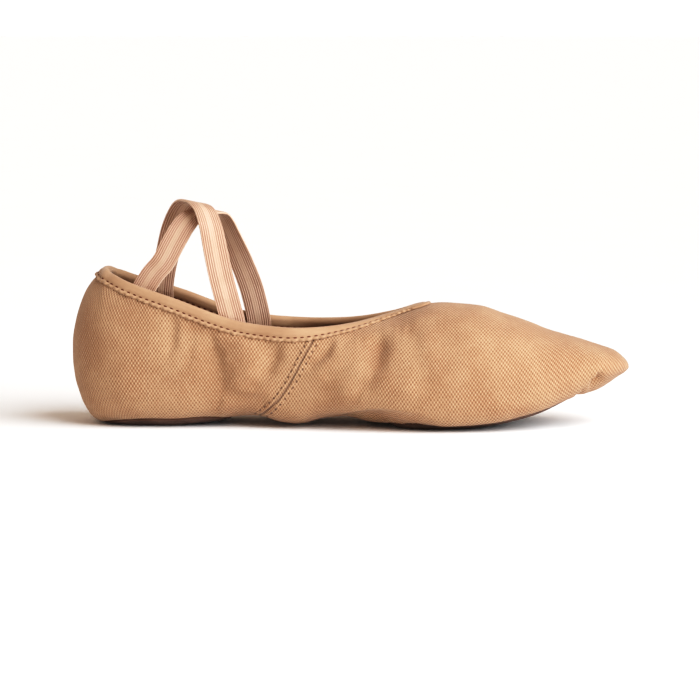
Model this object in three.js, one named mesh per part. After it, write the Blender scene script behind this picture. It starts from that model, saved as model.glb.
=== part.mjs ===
// A split-sole ballet slipper in stretch canvas, standing empty on its two suede soles.
// Millimetres. X runs from heel to toe, Y from the near side to the far side, Z up.
// One closed last-like form gives every piece its place: the canvas upper is the skin of that
// form, the soles lie under it, the insoles inside it, and the binding folds over its collar.

import * as THREE from "three";
import { mergeVertices } from "three/addons/utils/BufferGeometryUtils.js";

// Overall sizes
const LENGTH = 240; // back of the heel to the tip of the toe
const BALL_WIDTH = 74; // widest, at the ball of the foot
const HEEL_WIDTH = 54;
const HEEL_HEIGHT = 65.8; // canvas edge at the back of the collar
const VAMP_HEIGHT = 51.4; // canvas edge at the throat, over the instep
const HEEL_BULGE_HEIGHT = 31.5; // where the heel reaches furthest back
const TOE_TIP_HEIGHT = 25;
const ARCH_LIFT = 3.2; // bare canvas under the arch, over the pressed bottom
const TOE_SPRING = 17.7; // rise of the bottom at the toe
const THROAT_ROUND = 2.8; // radius of the collar's round end at the throat

// Rounding of the form's two closed ends, measured along the length
const HEEL_ROUND_LOW = 14.5;
const HEEL_ROUND_HIGH = 21;
const TOE_ROUND_SIDE = 15;
const TOE_ROUND_HEIGHT = 7;
const HEEL_ROUND_POWER = 1.9;

// Materials as thick as they are cut
const WALL = 1.2; // canvas and its cotton lining
const SOLE_THICKNESS = 1.5;
const INSOLE_THICKNESS = 1.4;
const BINDING_THICKNESS = 0.9;
const BINDING_WIDTH = 6.2; // as seen from outside
const STRAP_WIDTH = 10.4;
const STRAP_THICKNESS = 1.1;
const STRAP_LEAN = 8; // how far the faces of the elastics turn towards the toe at the top
const STRAP_CROWN = 0.7; // how far they turn upwards on their way over
const STRAP_TAIL = 9; // sewn end of the elastic, below the canvas edge
const CLEARANCE = 0.36; // between two pieces that touch
const INSOLE_CLEARANCE = 0.5; // between the canvas and an insole that lies loosely on it
const PRESS = 0.8; // how far the soft bottom is pressed flat where it stands

// Each sole is an egg-shaped outline about its centre line. A power of 2 is a round end, and a
// higher one is squarer.
const HEEL_SOLE = {
  centre: 0.15 * LENGTH,
  back: 0.096 * LENGTH,
  front: 0.1375 * LENGTH,
  half: 0.361 * HEEL_WIDTH,
  backPower: 2.2,
  frontPower: 3.6,
};
const FOREFOOT_SOLE = {
  centre: 0.684 * LENGTH,
  back: 0.137 * LENGTH,
  front: 0.237 * LENGTH,
  half: 0.372 * BALL_WIDTH,
  backPower: 2.5,
  frontPower: 2.1,
};
const SEAM_MARGIN = 7; // canvas held between sole and insole, all round
const INSOLE_MARGIN = 4; // insole inside the edge of its sole

// Height of the pressed canvas bottom over the floor
const GROUND = SOLE_THICKNESS + CLEARANCE;

// The binding clears the canvas on both faces, and its legs reach this far below the edge
const BINDING_FOLD = WALL / 2 + CLEARANCE;
const BINDING_LEG = BINDING_WIDTH - BINDING_FOLD - BINDING_THICKNESS;

// Width of the form: shares of the heel width and of the ball width
const PLAN = [
  { at: 0.0, heel: 0.98, ball: 0.0 },
  { at: 0.13, heel: 1.0, ball: 0.0 },
  { at: 0.25, heel: 0.94, ball: 0.015 },
  { at: 0.33, heel: 0.78, ball: 0.12 },
  { at: 0.42, heel: 0.44, ball: 0.44 },
  { at: 0.51, heel: 0.12, ball: 0.81 },
  { at: 0.58, heel: 0.0, ball: 0.965 },
  { at: 0.66, heel: 0.0, ball: 1.0 },
  { at: 0.74, heel: 0.0, ball: 0.965 },
  { at: 0.82, heel: 0.0, ball: 0.85 },
  { at: 0.9, heel: 0.0, ball: 0.64 },
  { at: 1.0, heel: 0.0, ball: 0.4 },
];

// Canvas edge of the collar and, in front of the throat, the crown of the vamp: shares of the
// heel height and of the vamp height
const TOP_LINE = [
  { at: 0.0, back: 1.06, vamp: 0.0 },
  { at: 0.056, back: 1.04, vamp: 0.0 },
  { at: 0.075, back: 0.978, vamp: 0.0 },
  { at: 0.106, back: 0.924, vamp: 0.0 },
  { at: 0.194, back: 0.715, vamp: 0.13 },
  { at: 0.258, back: 0.51, vamp: 0.28 },
  { at: 0.3125, back: 0.315, vamp: 0.455 },
  { at: 0.383, back: 0.085, vamp: 0.71 },
  { at: 0.44, back: 0.0, vamp: 0.818 },
  { at: 0.51, back: 0.0, vamp: 0.85 },
  { at: 0.578, back: 0.0, vamp: 0.922 },
  { at: 0.635, back: 0.0, vamp: 1.0 },
  { at: 0.68, back: 0.0, vamp: 1.015 },
  { at: 0.735, back: 0.0, vamp: 0.99 },
  { at: 0.79, back: 0.0, vamp: 0.91 },
  { at: 0.87, back: 0.0, vamp: 0.775 },
  { at: 0.94, back: 0.0, vamp: 0.68 },
  { at: 1.0, back: 0.0, vamp: 0.575 },
];

// Bottom of the form over its pressed level: shares of the arch lift and of the toe spring
const BOTTOM = [
  { at: 0.0, arch: 0.0, spring: 0.0 },
  { at: 0.18, arch: 0.0, spring: 0.0 },
  { at: 0.26, arch: 0.6, spring: 0.0 },
  { at: 0.31, arch: 0.95, spring: 0.0 },
  { at: 0.35, arch: 0.7, spring: 0.0 },
  { at: 0.375, arch: 0.12, spring: 0.0 },
  { at: 0.4, arch: -0.15, spring: 0.0 },
  { at: 0.42, arch: -0.05, spring: 0.0 },
  { at: 0.455, arch: 0.68, spring: 0.0 },
  { at: 0.51, arch: 1.0, spring: 0.0 },
  { at: 0.555, arch: 0.75, spring: 0.0 },
  { at: 0.6, arch: 0.0, spring: 0.0 },
  { at: 0.69, arch: 0.0, spring: 0.0 },
  { at: 0.74, arch: 0.0, spring: 0.05 },
  { at: 0.79, arch: 0.0, spring: 0.17 },
  { at: 0.84, arch: 0.0, spring: 0.36 },
  { at: 0.9, arch: 0.0, spring: 0.645 },
  { at: 0.95, arch: 0.0, spring: 0.88 },
  { at: 1.0, arch: 0.0, spring: 1.2 },
];

// Roundness of each section: height of its widest point as a share of its own height, and how
// square its roof and its floor are, where 2 is an ellipse
const ROUNDNESS = [
  { at: 0.0, belly: 0.38, roof: 2.2, floor: 2.6 },
  { at: 0.15, belly: 0.33, roof: 2.2, floor: 2.8 },
  { at: 0.32, belly: 0.33, roof: 2.2, floor: 2.7 },
  { at: 0.4, belly: 0.36, roof: 2.2, floor: 3.2 },
  { at: 0.48, belly: 0.36, roof: 2.1, floor: 2.7 },
  { at: 0.63, belly: 0.3, roof: 2.0, floor: 2.9 },
  { at: 0.78, belly: 0.34, roof: 2.0, floor: 2.8 },
  { at: 0.9, belly: 0.44, roof: 2.1, floor: 2.4 },
  { at: 1.0, belly: 0.55, roof: 2.1, floor: 2.1 },
];

// Collar opening along the length: where it starts, is widest and ends, and how wide it is
// there as a share of the form's own width. Its back is round by one power. Towards the throat
// it narrows by two more, and keeps the round end of the throat over its last stretch.
const COLLAR = { back: 0.0575, widest: 0.385, throat: 0.628, gape: 0.88 };
const COLLAR_BACK_POWER = 3;
const COLLAR_NARROWING = { late: 1.6, sharp: 1.9 };
const THROAT_STRETCH_POWER = 8;
const COLLAR_WIDEST_ARCH = 0.95; // a collar never takes up more of its section than this

// Deep soft folds that the form has on both sides: a line from one place to another, along the
// length and up, with its width and depth. Lengths are shares of LENGTH, of VAMP_HEIGHT and of
// FOLD_DEPTH. The folds fade out over the top and the bottom, between two shares of the form's
// half width.
const FOLD_DEPTH = 3.2;
const FOLD_FADE = { from: 0.72, to: 0.95 };
const FOLDS = [
  { at: 0.455, up: 0.12, toAt: 0.6, toUp: 0.2, width: 0.026, depth: 1.0 },
  { at: 0.41, up: 0.5, toAt: 0.385, toUp: 0.28, width: 0.018, depth: 0.45 },
  { at: 0.54, up: 0.72, toAt: 0.5, toUp: 0.42, width: 0.022, depth: 0.6 },
];

// Free part of each elastic, from the near side to the far side: along the length, across as a
// share of half the heel width, and up as a share of the rise from the collar to STRAP_HEIGHT
const STRAP_HEIGHT = 95.2; // centre of the upper elastic at the top of its arch
const STRAPS = [
  {
    name: "elastic_under",
    from: { at: 0.13, side: -1 },
    to: { at: 0.33, side: 1 },
    path: [
      { at: 0.151, side: -0.57, rise: 0.17 },
      { at: 0.17, side: -0.548, rise: 0.318 },
      { at: 0.189, side: -0.474, rise: 0.552 },
      { at: 0.203, side: -0.37, rise: 0.718 },
      { at: 0.2155, side: -0.252, rise: 0.82 },
      { at: 0.232, side: -0.093, rise: 0.88 },
      { at: 0.25, side: 0.093, rise: 0.926 },
      { at: 0.26, side: 0.25, rise: 0.91 },
      { at: 0.268, side: 0.4, rise: 0.85 },
      { at: 0.279, side: 0.535, rise: 0.72 },
      { at: 0.299, side: 0.637, rise: 0.48 },
      { at: 0.317, side: 0.678, rise: 0.25 },
    ],
  },
  {
    name: "elastic_over",
    from: { at: 0.298, side: -1 },
    to: { at: 0.152, side: 1 },
    path: [
      { at: 0.289, side: -0.7, rise: 0.136 },
      { at: 0.274, side: -0.663, rise: 0.406 },
      { at: 0.263, side: -0.585, rise: 0.64 },
      { at: 0.2535, side: -0.452, rise: 0.826 },
      { at: 0.24, side: -0.252, rise: 0.954 },
      { at: 0.2225, side: -0.019, rise: 0.996 },
      { at: 0.204, side: 0.204, rise: 0.968 },
      { at: 0.189, side: 0.389, rise: 0.845 },
      { at: 0.175, side: 0.519, rise: 0.645 },
      { at: 0.165, side: 0.59, rise: 0.391 },
      { at: 0.157, side: 0.605, rise: 0.172 },
    ],
  },
];

// Fineness of the meshes
const HEEL_COLUMNS = 10; // fan of columns round the half heel
const SIDE_COLUMNS = 23; // from the heel to the throat
const VAMP_COLUMNS = 19; // from the throat to the toe
const ROWS = 12; // from the bottom to the collar
const BEND_LENGTH = 15; // rows gather in bends: millimetres that a radian counts as
const BINDING_STATIONS = 88;
const BINDING_TURNS = 3;
const SOLE_COLUMNS = 20;
const SOLE_ROWS = 5; // each side of the centre line
const STRAP_STEPS = 3; // from one place of its path to the next
const STRAP_TURN = { from: 0.1, to: 0.85 }; // rise over which a band turns from its wall to the top
const SIDE_GATHER = 1.25; // over 1, columns gather towards the throat
const VAMP_GATHER = 1.5; // over 1, columns gather towards the toe
const HALVINGS = 44; // of a search for one place
const RAYS = 60; // that feel out the skin for one column
const LOOP_STEPS = 400; // of the collar's fine outline, on one side
const SLOPE_REACH = 0.05; // millimetres over which a slope is taken
const MERGE_REACH = 0.001; // millimetres within which two points are one

const COLOURS = {
  canvas: { color: 0xc8936b, roughness: 0.9 },
  binding: { color: 0xd0a277, roughness: 0.8 },
  elastic: { color: 0xdcb898, roughness: 0.75 },
  suede: { color: 0x8a6048, roughness: 0.95 },
  lining: { color: 0xd9b594, roughness: 0.9 },
};

const { clamp, lerp } = THREE.MathUtils;
const point = (x, y, z) => new THREE.Vector3(x, y, z);

// A table's column at a share of the length, as a smooth curve through its rows
function along(rows, key, at) {
  const end = rows.length - 1;
  let i = 0;
  while (i < end - 1 && at > rows[i + 1].at) i++;
  const slope = (k) => {
    const before = rows[Math.max(k - 1, 0)];
    const after = rows[Math.min(k + 1, end)];
    return (after[key] - before[key]) / (after.at - before.at);
  };
  const span = rows[i + 1].at - rows[i].at;
  const t = clamp((at - rows[i].at) / span, 0, 1);
  const s = 1 - t;
  const ends = rows[i][key] * s * s * (1 + 2 * t) + rows[i + 1][key] * t * t * (3 - 2 * t);
  return ends + span * (slope(i) * t * s * s - slope(i + 1) * t * t * s);
}

// Growth from 0 at a closed end to 1 at a distance of radius from it
function roundEnd(distance, radius, power) {
  const left = clamp(1 - distance / radius, 0, 1);
  return (1 - left ** power) ** (1 / power);
}

// How wide the collar gapes at a share of the length: a share of the form's width, and a
// length that rounds off the throat
function collarGape(at) {
  const beyond = at > COLLAR.widest ? COLLAR.throat : COLLAR.back;
  const reach = clamp((at - COLLAR.widest) / (beyond - COLLAR.widest), 0, 1);
  if (at <= COLLAR.widest) {
    const round = (1 - reach ** COLLAR_BACK_POWER) ** (1 / COLLAR_BACK_POWER);
    return { share: COLLAR.gape * round, extra: 0 };
  }
  const toThroat = Math.max(COLLAR.throat - at, 0) * LENGTH;
  const end = roundEnd(toThroat, THROAT_ROUND, 2);
  const narrowed = (1 - reach ** COLLAR_NARROWING.late) ** COLLAR_NARROWING.sharp;
  return {
    share: COLLAR.gape * narrowed * end,
    extra: THROAT_ROUND * reach ** THROAT_STRETCH_POWER * end,
  };
}

// The form's cross-section at x: its half width, bottom, top, widest height and squareness.
// Behind the throat its roof is the arch that stands on the two edges of the collar.
function section(x) {
  const at = clamp(x / LENGTH, 0, 1);
  const fromHeel = at * LENGTH;
  const fromToe = LENGTH - fromHeel;
  const width = along(PLAN, "heel", at) * HEEL_WIDTH + along(PLAN, "ball", at) * BALL_WIDTH;
  const ends = roundEnd(fromHeel, HEEL_WIDTH / 2, 2) * roundEnd(fromToe, TOE_ROUND_SIDE, 2);
  const half = (width / 2) * ends;
  let edge = along(TOP_LINE, "back", at) * HEEL_HEIGHT + along(TOP_LINE, "vamp", at) * VAMP_HEIGHT;
  let bottom = GROUND - PRESS;
  bottom += along(BOTTOM, "arch", at) * ARCH_LIFT + along(BOTTOM, "spring", at) * TOE_SPRING;
  edge = lerp(HEEL_BULGE_HEIGHT, edge, roundEnd(fromHeel, HEEL_ROUND_HIGH, HEEL_ROUND_POWER));
  bottom = lerp(HEEL_BULGE_HEIGHT, bottom, roundEnd(fromHeel, HEEL_ROUND_LOW, HEEL_ROUND_POWER));
  const toeEnd = roundEnd(fromToe, TOE_ROUND_HEIGHT, 2);
  edge = lerp(TOE_TIP_HEIGHT, edge, toeEnd);
  bottom = lerp(TOE_TIP_HEIGHT, bottom, toeEnd);
  const middle = lerp(bottom, edge, along(ROUNDNESS, "belly", at));
  const roof = along(ROUNDNESS, "roof", at);
  const { share, extra } = collarGape(at);
  const collarHalf = half * share + extra;
  const taken = half > 0 ? Math.min(collarHalf / Math.max(half, extra * 2), COLLAR_WIDEST_ARCH) : 0;
  const arch = (1 - taken ** roof) ** (1 / roof);
  return {
    half,
    bottom,
    middle,
    edge,
    collarHalf,
    top: middle + (edge - middle) / arch,
    roof,
    floor: along(ROUNDNESS, "floor", at),
  };
}

// Under 1 inside the form, 1 on its skin, over 1 outside
function level(p) {
  if (p.x <= 0 || p.x >= LENGTH) return Infinity;
  const s = section(p.x);
  const power = p.z > s.middle ? s.roof : s.floor;
  const reach = p.z > s.middle ? s.top - s.middle : s.middle - s.bottom;
  return (Math.abs(p.y) / s.half) ** power + (Math.abs(p.z - s.middle) / reach) ** power;
}

// The level that the form is pressed flat to: over a sole it is the sole's upper face, and the
// bare arch between the soles may sag to the floor
function groundAt(x) {
  const bare = x > HEEL_SOLE.centre + HEEL_SOLE.front && x < FOREFOOT_SOLE.centre - FOREFOOT_SOLE.back;
  return bare ? 0 : GROUND;
}

// Where a ray from inside the form leaves it
function cast(origin, direction) {
  let inside = 0;
  let outside = LENGTH;
  for (let step = 0; step < HALVINGS; step++) {
    const middle = (inside + outside) / 2;
    if (level(origin.clone().addScaledVector(direction, middle)) < 1) inside = middle;
    else outside = middle;
  }
  const hit = origin.clone().addScaledVector(direction, inside);
  hit.z = Math.max(hit.z, groundAt(hit.x));
  return hit;
}

// A point inside the form from which its neighbourhood is seen, for a place along the length
function hubFor(x) {
  const hubX = clamp(x, HEEL_SOLE.centre, LENGTH - TOE_ROUND_SIDE);
  return point(hubX, 0, section(hubX).middle);
}

// The nearest place on the skin as seen from the hub, and the outward direction there
function onSkin(p) {
  const hub = hubFor(p.x);
  return cast(hub, p.clone().sub(hub).normalize());
}

function outward(p) {
  const slope = (axis) => {
    const step = point(0, 0, 0);
    step[axis] = SLOPE_REACH;
    return level(p.clone().add(step)) - level(p.clone().sub(step));
  };
  return point(slope("x"), slope("y"), slope("z")).normalize();
}

// Height of the form's bottom and of its roof over a place in plan
function bottomAt(x, y) {
  const s = section(x);
  const share = clamp(Math.abs(y) / s.half, 0, 1);
  const drop = (s.middle - s.bottom) * (1 - share ** s.floor) ** (1 / s.floor);
  return Math.max(s.middle - drop, groundAt(x));
}

// Half the width of an egg-shaped outline at x, and the egg grown all round
function eggHalf(egg, x) {
  const behind = x < egg.centre;
  const reach = Math.abs(x - egg.centre) / (behind ? egg.back : egg.front);
  const power = behind ? egg.backPower : egg.frontPower;
  return reach >= 1 ? 0 : egg.half * (1 - reach ** power) ** (1 / power);
}

function grown(egg, by) {
  return { ...egg, back: egg.back + by, front: egg.front + by, half: egg.half + by };
}

const HEEL_OPENING = grown(HEEL_SOLE, -SEAM_MARGIN);
const FOREFOOT_OPENING = grown(FOREFOOT_SOLE, -SEAM_MARGIN);

// The far edge of the collar
function collarAt(at) {
  const s = section(at * LENGTH);
  return point(at * LENGTH, s.collarHalf, s.edge);
}

// A line of points with equal steps along a polyline. A bend counts as some length of its own,
// so that points gather where the line turns.
function evenly(line, count, bendLength = 0) {
  const reach = [0];
  let last = null;
  for (let i = 1; i < line.length; i++) {
    const run = line[i].clone().sub(line[i - 1]);
    const bend = last && run.length() > 0 ? run.angleTo(last) : 0;
    reach.push(reach[i - 1] + run.length() + bend * bendLength);
    last = run;
  }
  const total = reach[reach.length - 1];
  const made = [];
  let i = 1;
  for (let k = 0; k <= count; k++) {
    const goal = (total * k) / count;
    while (i < line.length - 1 && reach[i] < goal) i++;
    const step = reach[i] - reach[i - 1];
    made.push(line[i - 1].clone().lerp(line[i], step ? clamp((goal - reach[i - 1]) / step, 0, 1) : 0));
  }
  return made;
}

// A polyline with a length taken off its end
function withoutEnd(line, length) {
  const kept = [...line];
  let left = length;
  let last = kept.pop();
  while (kept.length > 1 && last.distanceTo(kept[kept.length - 1]) < left) {
    left -= last.distanceTo(kept[kept.length - 1]);
    last = kept.pop();
  }
  const before = kept[kept.length - 1];
  kept.push(last.clone().lerp(before, Math.min(left / last.distanceTo(before), 1)));
  return kept;
}

// One column of the skin, in the upright plane through the hub and the heading. Its last row
// but one lies where the legs of the binding end.
function column(hub, heading, start, end) {
  const angleTo = (p) => Math.atan2(p.z - hub.z, Math.hypot(p.x - hub.x, p.y));
  const line = [start];
  for (let k = 1; k < RAYS; k++) {
    const angle = lerp(angleTo(start), angleTo(end), k / RAYS);
    const flat = heading.clone().multiplyScalar(Math.cos(angle));
    line.push(cast(hub, point(flat.x, flat.y, Math.sin(angle))));
  }
  line.push(end);
  return [...evenly(withoutEnd(line, BINDING_LEG), ROWS - 1, BEND_LENGTH), end];
}

// Round the heel the columns fan out from the heel hub
function heelColumn(angle) {
  const hub = hubFor(0);
  const heading = point(-Math.cos(angle), Math.sin(angle), 0);
  const { back, half, backPower } = HEEL_OPENING;
  const spread = Math.abs(heading.x / back) ** backPower + Math.abs(heading.y / half) ** backPower;
  const start = hub.clone().addScaledVector(heading, spread ** (-1 / backPower));
  start.z = bottomAt(start.x, start.y);
  let rear = COLLAR.back;
  let front = hub.x / LENGTH;
  for (let step = 0; step < HALVINGS; step++) {
    const at = (rear + front) / 2;
    const edge = collarAt(at);
    if (Math.atan2(edge.y, hub.x - edge.x) < angle) rear = at;
    else front = at;
  }
  return column(hub, heading, start, collarAt(angle === 0 ? COLLAR.back : (rear + front) / 2));
}

// Along the sides each column is a cross-section, from the sole opening or the middle of the
// bottom to the collar or the middle of the vamp
function sideColumn(x) {
  const hub = point(x, 0, section(x).middle);
  const opening = Math.max(eggHalf(HEEL_OPENING, x), eggHalf(FOREFOOT_OPENING, x));
  const start = point(x, opening, bottomAt(x, opening));
  const at = x / LENGTH;
  const end = at < COLLAR.throat ? collarAt(at) : point(x, 0, section(x).top);
  return column(hub, point(0, 1, 0), start, end);
}

function skinColumns() {
  const columns = [];
  const hubX = hubFor(0).x;
  const throatX = COLLAR.throat * LENGTH;
  for (let i = 0; i < HEEL_COLUMNS; i++) columns.push(heelColumn((Math.PI / 2) * (i / HEEL_COLUMNS)));
  for (let i = 0; i < SIDE_COLUMNS; i++) {
    columns.push(sideColumn(throatX - (throatX - hubX) * (1 - i / SIDE_COLUMNS) ** SIDE_GATHER));
  }
  for (let i = 0; i < VAMP_COLUMNS; i++) {
    columns.push(sideColumn(LENGTH - (LENGTH - throatX) * (1 - i / VAMP_COLUMNS) ** VAMP_GATHER));
  }
  const tip = point(LENGTH, 0, TOE_TIP_HEIGHT);
  columns.push(columns[0].map(() => tip.clone()));
  return columns;
}

// Triangles of a grid of points, outside up when its rows and columns turn right-handed
function gridTriangles(columns, made = []) {
  for (let i = 0; i + 1 < columns.length; i++) {
    for (let j = 0; j + 1 < columns[i].length; j++) {
      const [a, b] = [columns[i][j], columns[i + 1][j]];
      const [c, d] = [columns[i + 1][j + 1], columns[i][j + 1]];
      made.push([a, b, c], [a, c, d]);
    }
  }
  return made;
}

const mirrored = (columns) => columns.map((line) => line.map((p) => point(p.x, -p.y, p.z)));
const turned = (triangles) => triangles.map(([a, b, c]) => [a, c, b]);

// A sheet with its points merged, without the triangles that closed ends collapse
function sheetFrom(triangles) {
  const flat = triangles.flatMap((corners) => corners.flatMap((p) => [p.x, p.y, p.z]));
  const loose = new THREE.BufferGeometry();
  loose.setAttribute("position", new THREE.Float32BufferAttribute(flat, 3));
  const sheet = mergeVertices(loose, MERGE_REACH);
  const kept = [];
  for (let i = 0; i < sheet.index.count; i += 3) {
    const [a, b, c] = [0, 1, 2].map((k) => sheet.index.getX(i + k));
    if (a !== b && b !== c && c !== a) kept.push(a, b, c);
  }
  sheet.setIndex(kept);
  sheet.computeVertexNormals();
  return sheet;
}

// The closed solid between two offsets of a sheet, along its normals
function slab(sheet, inner, outer) {
  const place = sheet.attributes.position;
  const normal = sheet.attributes.normal;
  const count = place.count;
  const spots = [];
  for (const offset of [outer, inner]) {
    for (let i = 0; i < count; i++) {
      const p = new THREE.Vector3().fromBufferAttribute(place, i);
      const n = new THREE.Vector3().fromBufferAttribute(normal, i);
      spots.push(...p.addScaledVector(n, offset).toArray());
    }
  }
  const corners = Array.from(sheet.index.array);
  const faces = [...corners];
  const edges = new Set();
  for (let i = 0; i < corners.length; i += 3) {
    const [a, b, c] = corners.slice(i, i + 3);
    faces.push(a + count, c + count, b + count);
    for (const [from, to] of [[a, b], [b, c], [c, a]]) edges.add(`${from},${to}`);
  }
  for (const edge of edges) {
    const [from, to] = edge.split(",").map(Number);
    if (edges.has(`${to},${from}`)) continue;
    faces.push(to, from, from + count, to, from + count, to + count);
  }
  const solid = new THREE.BufferGeometry();
  solid.setAttribute("position", new THREE.Float32BufferAttribute(spots, 3));
  solid.setIndex(faces);
  solid.computeVertexNormals();
  return solid;
}

// How deep the soft folds press into the canvas at a place on its side
function foldDepth(p) {
  const s = section(p.x);
  const outTo = Math.abs(p.y) / Math.max(s.half, 1);
  const onSide = THREE.MathUtils.smoothstep(outTo, FOLD_FADE.from, FOLD_FADE.to);
  const clear = THREE.MathUtils.smoothstep(s.edge - p.z, BINDING_WIDTH, 3 * BINDING_WIDTH);
  let depth = 0;
  for (const fold of FOLDS) {
    const from = new THREE.Vector2(fold.at * LENGTH, fold.up * VAMP_HEIGHT);
    const to = new THREE.Vector2(fold.toAt * LENGTH, fold.toUp * VAMP_HEIGHT);
    const run = to.clone().sub(from);
    const here = new THREE.Vector2(p.x, p.z);
    const share = clamp(here.clone().sub(from).dot(run) / run.lengthSq(), 0, 1);
    const away = here.distanceTo(from.addScaledVector(run, share)) / (fold.width * LENGTH);
    depth += fold.depth * FOLD_DEPTH * Math.exp(-away * away);
  }
  return depth * onSide * clear;
}

// The canvas upper: one wall from the sole openings up to the collar and over the vamp
function upper() {
  const columns = skinColumns();
  const sheet = sheetFrom([
    ...turned(gridTriangles(columns)),
    ...gridTriangles(mirrored(columns)),
  ]);
  const { position, normal } = sheet.attributes;
  for (let i = 0; i < position.count; i++) {
    const p = new THREE.Vector3().fromBufferAttribute(position, i);
    const n = new THREE.Vector3().fromBufferAttribute(normal, i);
    p.addScaledVector(n, -foldDepth(p));
    position.setXYZ(i, p.x, p.y, p.z);
  }
  sheet.computeVertexNormals();
  return slab(sheet, -WALL, 0);
}

// A pad on the form's bottom inside an egg-shaped outline
function padSheet(egg) {
  const columns = [];
  for (let i = 0; i <= SOLE_COLUMNS; i++) {
    const reach = Math.cos(Math.PI * (i / SOLE_COLUMNS));
    const x = egg.centre - reach * (reach > 0 ? egg.back : egg.front);
    const half = eggHalf(egg, x);
    const line = [];
    for (let j = -SOLE_ROWS; j <= SOLE_ROWS; j++) {
      const y = (half * j) / SOLE_ROWS;
      line.push(point(x, y, bottomAt(x, y)));
    }
    columns.push(line);
  }
  return sheetFrom(turned(gridTriangles(columns)));
}

function sole(egg) {
  return slab(padSheet(egg), CLEARANCE, CLEARANCE + SOLE_THICKNESS);
}

function insole(egg) {
  const bottom = WALL + INSOLE_CLEARANCE;
  return slab(padSheet(grown(egg, -INSOLE_MARGIN)), -bottom - INSOLE_THICKNESS, -bottom);
}

// The collar edge as a closed loop with equal steps, from the back along the far side
function collarLoop(count) {
  const half = [];
  for (let k = 0; k <= LOOP_STEPS; k++) {
    const share = (1 - Math.cos((Math.PI * k) / LOOP_STEPS)) / 2;
    half.push(collarAt(lerp(COLLAR.back, COLLAR.throat, share)));
  }
  const other = mirrored([half])[0].reverse();
  const loop = evenly([...half, ...other.slice(1)], count);
  loop.pop();
  return loop;
}

// A binding folded over the canvas edge, with one leg outside and one inside
function binding() {
  const loop = collarLoop(BINDING_STATIONS);
  const profile = [[BINDING_LEG, BINDING_FOLD]];
  for (let k = 0; k <= BINDING_TURNS; k++) {
    const turn = Math.PI * (k / BINDING_TURNS);
    profile.push([-BINDING_FOLD * Math.sin(turn), BINDING_FOLD * Math.cos(turn)]);
  }
  profile.push([BINDING_LEG, -BINDING_FOLD]);
  const columns = loop.map((edge, i) => {
    const before = loop[(i + loop.length - 1) % loop.length];
    const after = loop[(i + 1) % loop.length];
    const run = after.clone().sub(before).normalize();
    const out = outward(edge);
    const down = out.clone().cross(run).normalize();
    return profile.map(([below, offset]) => {
      const spot = edge.clone().addScaledVector(down, below);
      const on = below > 0 ? onSkin(spot) : spot;
      return on.addScaledVector(below > 0 ? outward(on) : out, offset - WALL / 2);
    });
  });
  columns.push(columns[0]);
  return slab(sheetFrom(turned(gridTriangles(columns))), 0, BINDING_THICKNESS);
}

// Where an elastic is sewn inside the wall, at a depth below the canvas edge. It is flat across,
// so its edges come nearest to the curved wall.
function sewnAt(end, depth) {
  const edge = collarAt(end.at);
  const on = onSkin(point(edge.x, edge.y, edge.z - depth));
  const out = outward(on);
  const hollow = STRAP_WIDTH ** 2 / (4 * HEEL_WIDTH);
  const inside = WALL + BINDING_THICKNESS + 2 * CLEARANCE + STRAP_THICKNESS / 2 + hollow;
  const spot = on.addScaledVector(out, -inside);
  spot.y *= end.side;
  out.y *= end.side;
  return { spot, out };
}

// An elastic band from the inside of the near wall over the instep to the far wall
function strap({ from, to, path }) {
  const over = path.map((row) => {
    const edge = collarAt(row.side < 0 ? from.at : to.at);
    const height = lerp(edge.z, STRAP_HEIGHT, row.rise);
    const spot = point(row.at * LENGTH, (row.side * HEEL_WIDTH) / 2, height);
    const free = point(STRAP_LEAN * row.rise, spot.y, (spot.z - VAMP_HEIGHT) * STRAP_CROWN).normalize();
    const turn = THREE.MathUtils.smoothstep(row.rise, STRAP_TURN.from, STRAP_TURN.to);
    const { out } = sewnAt(row.side < 0 ? from : to, 0);
    out.lerp(free, turn).normalize();
    return { spot, out };
  });
  const tails = [STRAP_TAIL, STRAP_TAIL / 2, 0];
  const way = [
    ...tails.map((depth) => sewnAt(from, depth)),
    ...over,
    ...tails.reverse().map((depth) => sewnAt(to, depth)),
  ];
  const smooth = (points) => new THREE.CatmullRomCurve3(points, false, "centripetal");
  const middle = smooth(way.map(({ spot }) => spot));
  const outer = smooth(way.map(({ spot, out }) => spot.clone().addScaledVector(out, STRAP_WIDTH)));
  const count = (way.length - 1) * STRAP_STEPS;
  const columns = [];
  for (let k = 0; k <= count; k++) {
    const spot = middle.getPoint(k / count);
    const out = outer.getPoint(k / count).sub(spot);
    const across = middle.getTangent(k / count).cross(out).normalize();
    const line = [-0.5, 0, 0.5].map((share) => spot.clone().addScaledVector(across, share * STRAP_WIDTH));
    columns.push(line);
  }
  return slab(sheetFrom(gridTriangles(columns)), -STRAP_THICKNESS / 2, STRAP_THICKNESS / 2);
}

function part(name, geometry, finish) {
  const mesh = new THREE.Mesh(geometry, new THREE.MeshStandardMaterial({ ...finish, metalness: 0 }));
  mesh.name = name;
  return mesh;
}

const slipper = new THREE.Group();
slipper.add(
  part("upper", upper(), COLOURS.canvas),
  part("collar_binding", binding(), COLOURS.binding),
  part("forefoot_sole", sole(FOREFOOT_SOLE), COLOURS.suede),
  part("heel_sole", sole(HEEL_SOLE), COLOURS.suede),
  part("forefoot_insole", insole(FOREFOOT_SOLE), COLOURS.lining),
  part("heel_insole", insole(HEEL_SOLE), COLOURS.lining),
  ...STRAPS.map((row) => part(row.name, strap(row), COLOURS.elastic)),
);

// The origin is the middle of the slipper's box, on the floor
const box = new THREE.Box3().setFromObject(slipper);
slipper.position.set(-(box.min.x + box.max.x) / 2, -(box.min.y + box.max.y) / 2, -box.min.z);
const model = new THREE.Group();
model.add(slipper);

export default model;
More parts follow.
